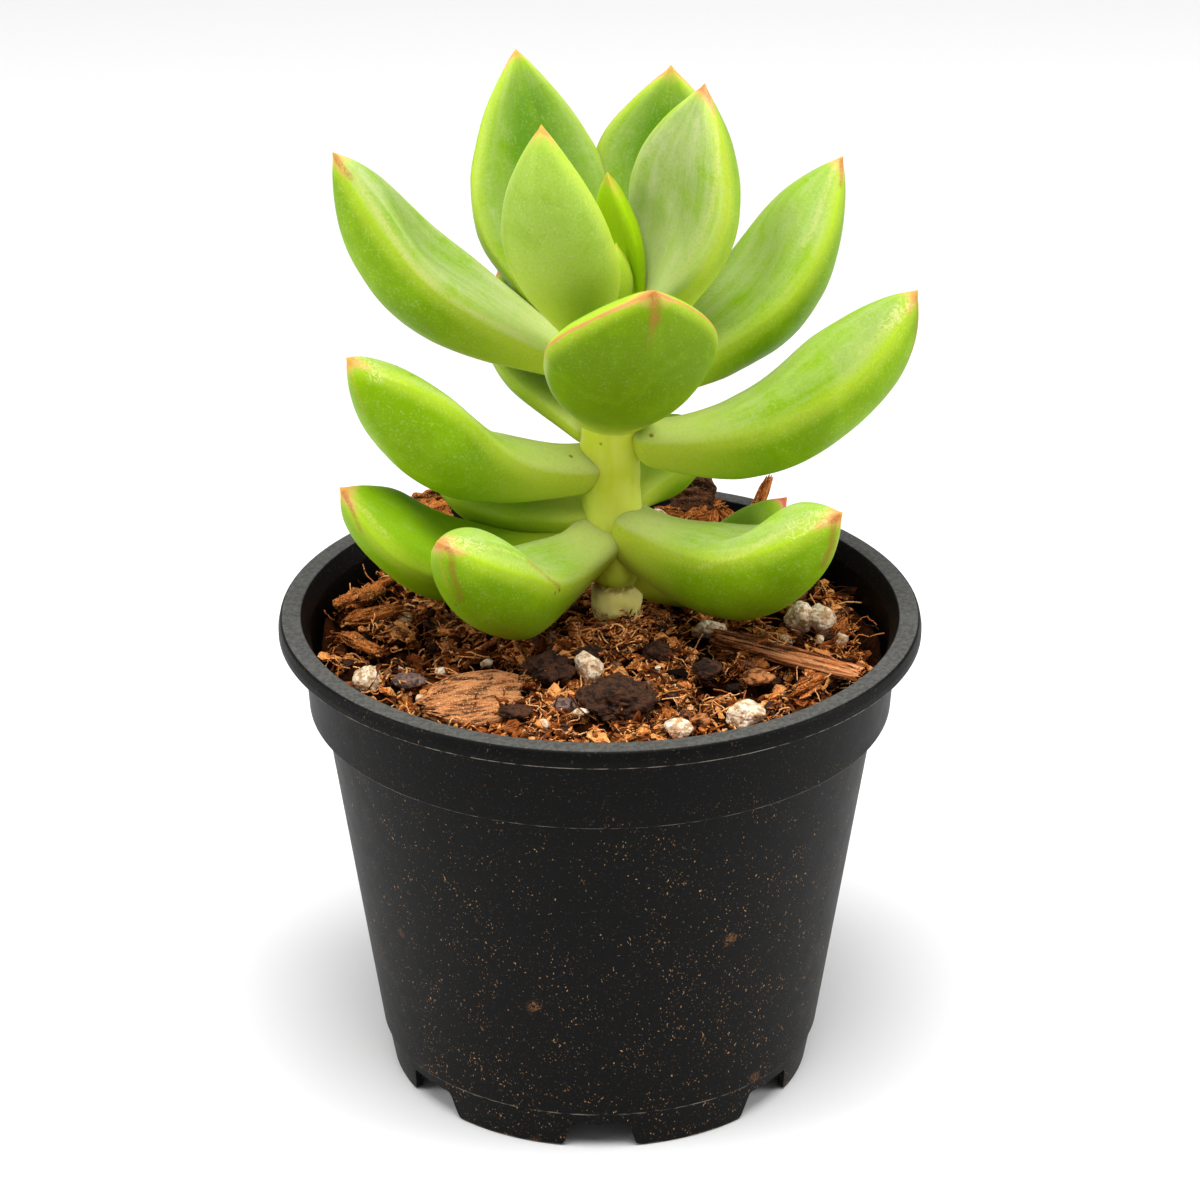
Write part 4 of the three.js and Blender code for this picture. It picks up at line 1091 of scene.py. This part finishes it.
def placed(graph, given, form):
    """The form at every scattered point, each with a tone of its own, as real geometry."""
    points, turn, size = scatter_points(graph, given)
    placing = {"Points": points, "Instance": form, "Rotation": turn, "Scale": size}
    pieces = graph.node("GeometryNodeInstanceOnPoints", sockets=placing)
    tone = graph.node("FunctionNodeRandomValue", {"data_type": "FLOAT"}, {"Seed": given("Seed") + 7}, out=1)
    pieces = stored(graph, pieces, "tone", tone, "FLOAT", "INSTANCE")
    return graph.node("GeometryNodeRealizeInstances", sockets={"Geometry": pieces})


def with_grain(graph, pieces):
    """Keeps where each point lies, so that the grain follows it when it is moved or swept."""
    place = graph.node("GeometryNodeInputPosition")
    return stored(graph, pieces, "grain", place, "FLOAT_VECTOR", "POINT")


def shaken(graph, given, pieces):
    """Every point moved by waves of noise, so that no two pieces are alike, and sunk."""
    waves = {"Vector": graph.node("GeometryNodeInputPosition"), "Scale": given("Wave"), "Detail": 2.0}
    shift = graph.node("ShaderNodeTexNoise", sockets=waves, out=1)
    shift = graph.node("ShaderNodeVectorMath", {"operation": "SUBTRACT"}, {0: shift, 1: (0.5, 0.5, 0.5)})
    strength = {0: shift, "Scale": given("Raggedness")}
    shift = graph.node("ShaderNodeVectorMath", {"operation": "SCALE"}, strength)
    pieces = graph.node("GeometryNodeSetPosition", sockets={"Geometry": pieces, "Offset": shift})
    drop = graph.node("ShaderNodeCombineXYZ", sockets={2: given("Sink") * -1})
    return graph.node("GeometryNodeSetPosition", sockets={"Geometry": pieces, "Offset": drop})


def finish_tree(graph, given, pieces):
    """Gives the pieces their material and hands them out."""
    finish = {"Geometry": pieces, "Material": given("Finish")}
    pieces = graph.node("GeometryNodeSetMaterial", sockets=finish)
    end = graph.tree.nodes.new("NodeGroupOutput")
    graph.tree.links.new(pieces.socket, end.inputs[0])


def crumb_tree():
    """Ragged flattened crumbs, each a small block that noise wears out of shape."""
    tree, graph, given = new_scatter("crumbs")
    block = {"Size": (1, 1, 1), "Vertices X": 5, "Vertices Y": 3, "Vertices Z": 3}
    form = graph.node("GeometryNodeMeshCube", sockets=block)
    own = graph.node("GeometryNodeInputPosition")
    ball = graph.node("ShaderNodeVectorMath", {"operation": "NORMALIZE"}, {0: own})
    ball = graph.node("ShaderNodeVectorMath", {"operation": "SCALE"}, {0: ball, "Scale": 0.56})
    rounder = graph.node("ShaderNodeMix", {"data_type": "VECTOR"}, {0: 0.55, 4: own, 5: ball}, out=1)
    form = graph.node("GeometryNodeSetPosition", sockets={"Geometry": form, "Position": rounder})
    pieces = with_grain(graph, placed(graph, given, form))
    finish_tree(graph, given, shaken(graph, given, pieces))
    return tree


def fibre_tree():
    """Thin curled fibres."""
    tree, graph, given = new_scatter("fibres")
    bow = {"Resolution": FIBRE_STEPS, "Start": (-0.5, 0, -0.05), "Middle": (0.0, 0.5, 0.16),
           "End": (0.5, 0, -0.05)}
    form = graph.node("GeometryNodeCurveQuadraticBezier", sockets=bow)
    pieces = with_grain(graph, shaken(graph, given, placed(graph, given, form)))
    ring = {"Resolution": FIBRE_SIDES, "Radius": FIBRE_RADIUS * MM}
    profile = graph.node("GeometryNodeCurvePrimitiveCircle", sockets=ring)
    sweep = {"Curve": pieces, "Profile Curve": profile, "Fill Caps": True}
    finish_tree(graph, given, graph.node("GeometryNodeCurveToMesh", sockets=sweep))
    return tree


def strew(ground, trees, row):
    """Runs a scatter tree on the ground and keeps what it makes as one piece."""
    name, kind, slot, finish, *values = row
    labels = ("Density", "Smallest", "Largest", "Tilt", "Raggedness", "Wave", "Sink", "Seed")
    tree = trees[kind]
    maker = bpy.data.objects.new(name + "_maker", ground)
    bpy.context.scene.collection.objects.link(maker)
    scatter = maker.modifiers.new("scatter", "NODES")
    scatter.node_group = tree
    sockets = {item.name: item.identifier for item in tree.interface.items_tree if item.in_out == "INPUT"}
    scatter[sockets["Finish"]] = FINISHES[finish]
    for label, value in zip(labels, values):
        scatter[sockets[label]] = value
    depsgraph = bpy.context.evaluated_depsgraph_get()
    mesh = bpy.data.meshes.new_from_object(maker.evaluated_get(depsgraph))
    mesh.name = name
    bpy.data.objects.remove(maker)
    new_piece(name, mesh, finish, smooth=False)


def make_crumbs():
    trees = {"crumbs": crumb_tree(), "fibres": fibre_tree()}
    ground = scatter_ground("ground", STREWN_RADIUS)
    for row in STREWN:
        strew(ground, trees, row)
    clump = scatter_ground("clump", CLUMP_RADIUS, CLUMP_PLACE)
    strew(clump, trees, CLUMP)
    bpy.data.meshes.remove(ground)
    bpy.data.meshes.remove(clump)


# Stem

def stem_x(height):
    share = np.clip((STEM_STRAIGHT_HEIGHT - height) / (STEM_STRAIGHT_HEIGHT - SOIL_LEVEL), 0, 1)
    return STEM_TOP_X + (STEM_FOOT_X - STEM_TOP_X) * share


def make_stem():
    heights = np.linspace(STEM_SECTIONS[0][0], STEM_SECTIONS[-1][0], STEM_RINGS)
    radii = np.interp(heights, *zip(*STEM_SECTIONS))
    soft = np.hanning(STEM_SMOOTHING)[1:-1]
    radii = np.convolve(np.pad(radii, 2, "edge"), soft / soft.sum(), "valid")
    angles = np.arange(STEM_SIDES) / STEM_SIDES * 2 * math.pi
    rings = []
    for height, radius in zip(heights, radii):
        row = []
        for angle in angles:
            reach = radius
            for leaf in LEAVES.values():
                apart = (math.degrees(angle) - leaf["azimuth"] + 180) % 360 - 180
                level = height - POT_HEIGHT - leaf["height"] + 0.6
                near = math.exp(-(level / JOINT_HEIGHT) ** 2 - (apart / JOINT_WIDTH) ** 2)
                reach += JOINT_SWELL * near * (height < HIGHEST_JOINT)
            here = Vector((math.cos(angle) * 2, math.sin(angle) * 2, height / 2.5))
            reach *= 1 + 0.025 * noise.noise(here)
            if height < CALLUS_TOP:
                reach *= 1 + 0.08 * noise.noise(here * 1.7)
            row.append((stem_x(height) + reach * math.cos(angle), STEM_Y + reach * math.sin(angle), height))
        rings.append(row)
    rings = np.array(rings)
    foot = (float(stem_x(STEM_FOOT_HEIGHT)), STEM_Y, STEM_FOOT_HEIGHT)
    mesh = skin_over("stem", rings, foot, (STEM_TOP_X, STEM_Y, STEM_TIP_HEIGHT))
    points = np.concatenate([[foot], rings.reshape(-1, 3), [(STEM_TOP_X, STEM_Y, STEM_TIP_HEIGHT)]])
    spot = np.zeros(len(points))
    for height, azimuth in STEM_SPOTS:
        angle = math.radians(azimuth)
        out = STEM_SPOT_REACH * np.array([math.cos(angle), math.sin(angle), 0])
        at = np.array([stem_x(height), STEM_Y, height]) + out
        spot = np.maximum(spot, 1 - np.linalg.norm(points - at, axis=1) / STEM_SPOT_SIZE)
    give_values(mesh, spot=spot)
    new_piece("stem_skin", mesh, "stem", "stem")


# Leaves

def width_share(leaf, along):
    climb = np.sin(math.pi / 2 * np.minimum(along / leaf["widest"], 1)) ** 1.6
    foot = leaf["neck"] + (1 - leaf["neck"]) * climb
    end = 1 - (np.maximum(along - leaf["widest"], 0) / (1 - leaf["widest"])) ** 1.9
    return np.where(along < leaf["widest"], foot, end)


def depth_share(leaf, along):
    climb = np.sin(math.pi / 2 * np.minimum(along / leaf["deepest"], 1)) ** 1.2
    foot = leaf["neck_depth"] + (1 - leaf["neck_depth"]) * climb
    beyond = np.maximum(along - leaf["deepest"], 0) / (1 - leaf["deepest"])
    return np.where(along < leaf["deepest"], foot, (1 - beyond ** 2.6) ** leaf["taper"])


def leaf_course(leaf, along):
    """Points, forward, right and up directions along the middle of a leaf."""
    fine = np.linspace(0, 1, 2001)

    def forward_at(share):
        gained = (leaf["rise_tip"] - leaf["rise_foot"]) * share ** leaf["bend"]
        rise = np.radians(leaf["rise_foot"] + gained)
        azimuth = np.radians(leaf["azimuth"] + leaf["sway"] * share)
        level = np.cos(rise)
        return np.stack([level * np.cos(azimuth), level * np.sin(azimuth), np.sin(rise)], -1), azimuth

    steps = forward_at((fine[1:] + fine[:-1]) / 2)[0] * leaf["length"] / (len(fine) - 1)
    travelled = np.concatenate([np.zeros((1, 3)), np.cumsum(steps, 0)])
    height = POT_HEIGHT + leaf["height"]
    start = math.radians(leaf["azimuth"])
    origin = np.array([float(stem_x(height)) + LEAF_ROOT_RADIUS * math.cos(start),
                       STEM_Y + LEAF_ROOT_RADIUS * math.sin(start), height])
    points = origin + np.stack([np.interp(along, fine, travelled[:, axis]) for axis in range(3)], -1)
    forward, azimuth = forward_at(along)
    level = np.stack([np.sin(azimuth), -np.cos(azimuth), np.zeros_like(azimuth)], -1)
    upright = np.cross(level, forward)
    roll = np.radians(leaf["roll"] + leaf["twist"] * (1 - smoothstep(along, 0, 0.7)))[:, None]
    right = level * np.cos(roll) + upright * np.sin(roll)
    up = upright * np.cos(roll) - level * np.sin(roll)
    return points, forward, right, up


def no_more_than(size, limit):
    """The smaller of two sizes, with a soft change from one to the other."""
    return (np.maximum(size, 1e-6) ** -4.0 + np.maximum(limit, 1e-6) ** -4.0) ** -0.25


def leaf_rings(leaf, along, scale, back):
    """Sections across a leaf. scale shrinks them and back moves them towards the stem."""
    points, forward, right, up = leaf_course(leaf, along)
    from_tip = (1 - along) * leaf["length"]
    reach = leaf["point"] * np.exp(-(from_tip / POINT_ROOT) ** 2) - back
    points = points + forward * reach[:, None]
    angles = -np.arange(LEAF_SIDES) / LEAF_SIDES * 2 * math.pi
    across = np.cos(angles)[None, :]
    rise = np.sin(angles)[None, :]
    lobe = leaf["lobe"] * np.exp(-(along * leaf["length"] / 4) ** 2)
    half = no_more_than(leaf["width"] / 2 * width_share(leaf, along) + lobe, leaf["blunt"] * from_tip)
    depth = leaf["depth"] * depth_share(leaf, along)
    swell = leaf["full"] * smoothstep(along, leaf["swell_from"], leaf["swell_from"] + SWELL_REACH)
    crease = TIP_CREASE * smoothstep(along, CREASE_START, 1)[:, None]
    round_foot = leaf["plump"] * (1 - smoothstep(along, 0.3, 0.65))
    below = (0.84 - 0.22 * swell - 0.06 * round_foot) * depth + 0.4 * lobe
    below = no_more_than(below, POINT_SLOPE_UNDER * from_tip)
    above = (0.3 + 0.24 * swell + 0.06 * round_foot) * depth + 0.4 * lobe
    above = no_more_than(above, POINT_SLOPE_OVER * from_tip)
    channel = CHANNEL * (1 - swell) * (1 - 0.8 * round_foot) * depth
    over = above[:, None] * rise - channel[:, None] * rise ** 4
    under = below[:, None] * ((1 - crease) * rise - crease * (1 - np.abs(across) ** 1.3))
    height = np.where(rise >= 0, over, under)
    ridge = RIDGE * smoothstep(along, 0.3, 0.6) * smoothstep(from_tip, 0.0, 2.0)
    proud = ridge[:, None] * np.exp(-(rise / RIDGE_WIDTH) ** 2)
    lateral = (half[:, None] * across + np.sign(across) * proud) * scale[:, None]
    height = height * scale[:, None]
    rings = points[:, None, :] + right[:, None, :] * lateral[..., None] + up[:, None, :] * height[..., None]
    edge = np.hypot(half[:, None] * scale[:, None] * (1 - np.abs(across)), height)
    return rings, points, across, rise, edge, from_tip - reach


def stretched_noise(rings, step, size, octaves, shift):
    """Noise worked out at every few points of a grid of rings and spread over the rest."""
    coarse = rings[::step, ::step]
    values = fractal((coarse + shift).reshape(-1, 3), size, octaves).reshape(coarse.shape[:2])
    values = np.concatenate([values, values[:, :1]], 1)
    values = np.concatenate([values, values[-1:]], 0)
    row = np.arange(rings.shape[0]) / step
    column = np.arange(rings.shape[1]) / step
    low_row = row.astype(int)
    low_column = column.astype(int)
    row_share = (row - low_row)[:, None]
    column_share = (column - low_column)[None, :]
    near = values[low_row][:, low_column] * (1 - column_share)
    near = near + values[low_row][:, low_column + 1] * column_share
    far = values[low_row + 1][:, low_column] * (1 - column_share)
    far = far + values[low_row + 1][:, low_column + 1] * column_share
    return near * (1 - row_share) + far * row_share


def marks_on(name, rings, along):
    """How strongly each kind of mark shows at each point of a leaf."""
    shown = {kind: np.zeros(rings.shape[:2]) for kind in ("light_line", "red_line", "scar", "spot")}
    blade = slice(CAP_STEPS + 1, None)
    for kind, size, path in MARKS.get(name, ()):
        stations, turns = zip(*path)
        turns = np.degrees(np.unwrap(np.radians(turns)))
        steps = np.linspace(0, len(path) - 1, 1 + MARK_STEPS * (len(path) - 1))
        nearest = np.full(rings.shape[:2], 100.0)
        stations = np.interp(steps, range(len(path)), stations)
        turns = np.interp(steps, range(len(path)), turns)
        for station, turn in zip(stations, turns):
            ring = CAP_STEPS + 1 + int(np.argmin(np.abs(along[blade] - station)))
            side = round(-turn / 360 * LEAF_SIDES) % LEAF_SIDES
            nearest = np.minimum(nearest, np.linalg.norm(rings - rings[ring, side], axis=2))
        shown[kind] = np.maximum(shown[kind], 1 - smoothstep(nearest, 0.3 * size, size))
    return shown


def make_leaf(name, leaf, seed):
    cap = np.linspace(0, math.pi / 2, CAP_STEPS + 2)[1:-1]
    from_root = np.concatenate([CAP_LENGTH * (1 - np.cos(cap)), [CAP_LENGTH]]) - leaf["root"]
    start = from_root[-1] / leaf["length"]
    blade = start + (1 - start) * (1 - (1 - np.arange(1, LEAF_STEPS) / LEAF_STEPS) ** TIP_CROWDING)
    place = np.concatenate([from_root / leaf["length"], blade])
    along = np.maximum(place, 0)
    back = np.maximum(-place, 0) * leaf["length"]
    scale = np.concatenate([np.sin(cap), np.ones(len(blade) + 1)])
    rings, points, across, rise, edge, from_tip = leaf_rings(leaf, along, scale, back)
    ends = leaf_course(leaf, np.array([0.0, 1.0]))
    start = ends[0][0] - ends[1][0] * leaf["root"]
    tip = ends[0][1] + ends[1][1] * leaf["point"]
    shift = np.array([seed * 31.0, seed * 17.0, 0.0])
    middle = points[:, None, :]
    wave = stretched_noise(rings, 5, LEAF_WAVE_SIZE, 2, shift)
    rings = middle + (rings - middle) * (1 + LEAF_WAVE * wave)[..., None]
    mesh = skin_over(name, rings, start, tip)
    marks = {kind: np.pad(shown.ravel(), 1) for kind, shown in marks_on(name, rings, along).items()}
    across = np.broadcast_to(across, edge.shape)
    rise = np.broadcast_to(rise, edge.shape)

    def fill(values, first, last):
        return np.concatenate([[first], values.ravel(), [last]])

    def spread(values):
        return np.broadcast_to(values[:, None], edge.shape)

    give_values(
        mesh,
        along=fill(spread(along), 0, 1),
        from_tip=fill(spread(from_tip), leaf["length"], 0),
        across=fill(across, 0, 0),
        rise=fill(rise, -1, 0),
        edge=fill(edge, 3, 0),
        **{tint: leaf[tint] for tint in LEAF_TINTS},
        **marks,
    )
    new_piece(name.replace("leaf_", "blade_"), mesh, "leaf", name)


# Bark and perlite

def on_soil(piece):
    """Where the middle of a piece lies over the soil."""
    return Vector((piece["x"], piece["y"], float(soil_height(piece["x"], piece["y"])) + piece["lift"])) * MM


def make_bark(name, piece, stands_for=None):
    """A slab of bark split along its grain, with ragged broken ends."""
    shift = Vector((piece["seed"] * 13.0, 0, 0))
    turns = np.arange(BARK_SIDES) / BARK_SIDES * 2 * math.pi
    flat = np.sign(np.cos(turns)) * np.abs(np.cos(turns)) ** 0.75
    face = np.sign(np.sin(turns)) * np.abs(np.sin(turns)) ** 0.6
    half = np.array([piece["length"], piece["width"], piece["thickness"]]) / 2
    relief = piece.get("relief", 1)
    rings = []
    pits = [0.0]
    for share in np.linspace(-1, 1, BARK_STATIONS):
        width = np.interp(share, np.linspace(-1, 1, len(piece["widths"])), piece["widths"])
        row = []
        for v, w in zip(flat, face):
            groove = noise.noise(Vector((share * 1.2, v * piece["grooves"], 0)) + shift)
            strand = noise.noise(Vector((share * 3, v * piece["grooves"] * 3, 4)) + shift)
            end = Vector((math.copysign(5, share), v * piece["grooves"] * 1.5, w * 0.6))
            torn = noise.noise(end + shift)
            x = half[0] * share * (1 - piece["ragged"] * (0.5 + 0.9 * torn) * abs(share) ** 3)
            edge = 0.10 * noise.noise(Vector((share * 2.5, v, 8)) + shift)
            y = half[1] * width * v * (1 + edge)
            thin = 1 - 0.45 * abs(share) ** 4
            z = half[2] * (w * thin * (1 + 0.5 * relief * strand) + 0.7 * relief * groove)
            pits.append(max(0.0, min(1.0, 0.45 - 1.3 * strand - 0.7 * groove)))
            row.append((x, y, z))
        rings.append(row)
    rings = np.array(rings)
    inset = half[0] * (1 - piece["ragged"] * 0.8)
    mesh = skin_over(name, rings, (-inset, 0, 0), (inset, 0, 0))
    mesh.flip_normals()
    own = np.array([tuple(v.co) for v in mesh.vertices])
    turn = Matrix.Identity(4)
    for way, axis in (("turn", "Z"), ("lean", "X"), ("tilt", "Y")):
        turn = turn @ Matrix.Rotation(math.radians(piece[way]), 4, axis)
    mesh.transform(Matrix.Translation(on_soil(piece)) @ turn)
    give_values(mesh, grain=own, tone=0.6, pit=np.array(pits + [0.0]))
    slot = "dark_bark" if piece["finish"] == "dark" else "bark"
    new_piece(name + "_slab", mesh, piece["finish"], stands_for)


def make_lump(name, piece, stands_for=None):
    """A knobbly lump with worn flat faces: a nugget of bark or a grain of perlite."""
    pale = name.startswith("perlite")
    shape = bmesh.new()
    bmesh.ops.create_icosphere(shape, subdivisions=5 if stands_for else 4, radius=1)
    random = np.random.default_rng(piece["seed"])
    facets = random.normal(size=(LUMP_FACES, 3))
    facets /= np.linalg.norm(facets, axis=1)[:, None] * random.uniform(0.8, 1.15, (LUMP_FACES, 1))
    size = Vector(piece["size"]) / 2
    shift = Vector((piece["seed"] * 7.0, piece["seed"] * 3.0, 0))
    ways = np.array([tuple(vert.co) for vert in shape.verts])
    worn = 7 if pale else 13
    reach = np.sum(np.maximum(ways @ facets.T, 0.02) ** worn, axis=1) ** (-1 / worn)
    pits = []
    for vert, far in zip(shape.verts, reach):
        at = Vector([a * b for a, b in zip(vert.co, size)]) + shift
        if pale:
            knobs = 0.15 * (0.5 - noise.voronoi(at / 1.15)[0][0])
            knobs += 0.06 * (0.45 - noise.voronoi(at / 0.5)[0][0])
        else:
            knobs = 0.22 * noise.noise(at / 1.3) + 0.15 * noise.noise(at / 0.5)
        pits.append(max(0.0, min(1.0, 0.5 - 7 * knobs)))
        grown = min(1.15, float(far) * 0.98) * (1 + knobs)
        vert.co = Vector([a * b for a, b in zip(vert.co, size)]) * grown
    mesh = bpy.data.meshes.new(name)
    shape.to_mesh(mesh)
    shape.free()
    mesh.transform(Matrix.Diagonal((MM, MM, MM, 1)))
    own = np.array([tuple(v.co) for v in mesh.vertices]) * (5, 1, 1)
    mesh.transform(Matrix.Translation(on_soil(piece)))
    give_values(mesh, grain=own, tone=0.45, pit=np.array(pits))
    finish = piece.get("finish", "perlite" if pale else "dark")
    new_piece(name + "_lump", mesh, finish, stands_for)


# Stage

def make_camera():
    data = bpy.data.cameras.new("camera")
    data.lens = LENS
    data.sensor_width = SENSOR
    data.clip_start = 0.01
    data.clip_end = 20
    camera = bpy.data.objects.new("camera", data)
    camera.location = Vector(CAMERA_PLACE) * MM
    camera.rotation_euler = (math.radians(90 - CAMERA_DIP), 0, 0)
    bpy.context.scene.collection.objects.link(camera)
    bpy.context.scene.camera = camera


def make_light(name, place, target, size, power):
    data = bpy.data.lights.new(name, "AREA")
    data.shape = "DISK"
    data.size = size
    data.energy = power
    light = bpy.data.objects.new(name, data)
    light.location = place
    light.rotation_euler = (Vector(target) - Vector(place)).to_track_quat("-Z", "Y").to_euler()
    bpy.context.scene.collection.objects.link(light)


def make_stage():
    shape = bmesh.new()
    bmesh.ops.create_grid(shape, x_segments=1, y_segments=1, size=FLOOR_REACH)
    mesh = bpy.data.meshes.new("floor")
    shape.to_mesh(mesh)
    shape.free()
    mesh.materials.append(new_finish("pale_floor", floor_surface, **{"Specular IOR Level": 0.1}))
    floor = bpy.data.objects.new("floor", mesh)
    bpy.context.scene.collection.objects.link(floor)
    world = bpy.data.worlds.new("studio")
    world.use_nodes = True
    background = world.node_tree.nodes["Background"]
    background.inputs["Color"].default_value = (1, 1, 1, 1)
    background.inputs["Strength"].default_value = ROUND_LIGHT
    bpy.context.scene.world = world
    bpy.context.scene.view_settings.view_transform = "Standard"
    for lamp in LAMPS:
        make_light(*lamp)


make_camera()
make_stage()
make_pot()
make_soil()
make_crumbs()
make_stem()
for number, (leaf_name, leaf_values) in enumerate(LEAVES.items()):
    make_leaf(leaf_name, leaf_values, number)
for bark_name, bark_values in BARK.items():
    make_bark(bark_name, bark_values, bark_name)
for number, shred_values in enumerate(SHREDS):
    shred = dict(SHRED, seed=FIRST_SHRED_SEED + number, **dict(zip(SHRED_SIZES, shred_values)))
    make_bark(f"bark_shred_{number + 1}", shred)
for lump_name, lump_values in LUMPS.items():
    make_lump(lump_name, lump_values, lump_name)
bit_seed = FIRST_BIT_SEED
for bit_finish, bits in BITS.items():
    for number, (bit_x, bit_y, bit_lift, bit_size) in enumerate(bits, 1):
        bit = dict(x=bit_x, y=bit_y, lift=bit_lift, size=bit_size, seed=bit_seed, finish=bit_finish)
        make_lump(f"{bit_finish}_bit_{number}", bit)
        bit_seed += 1
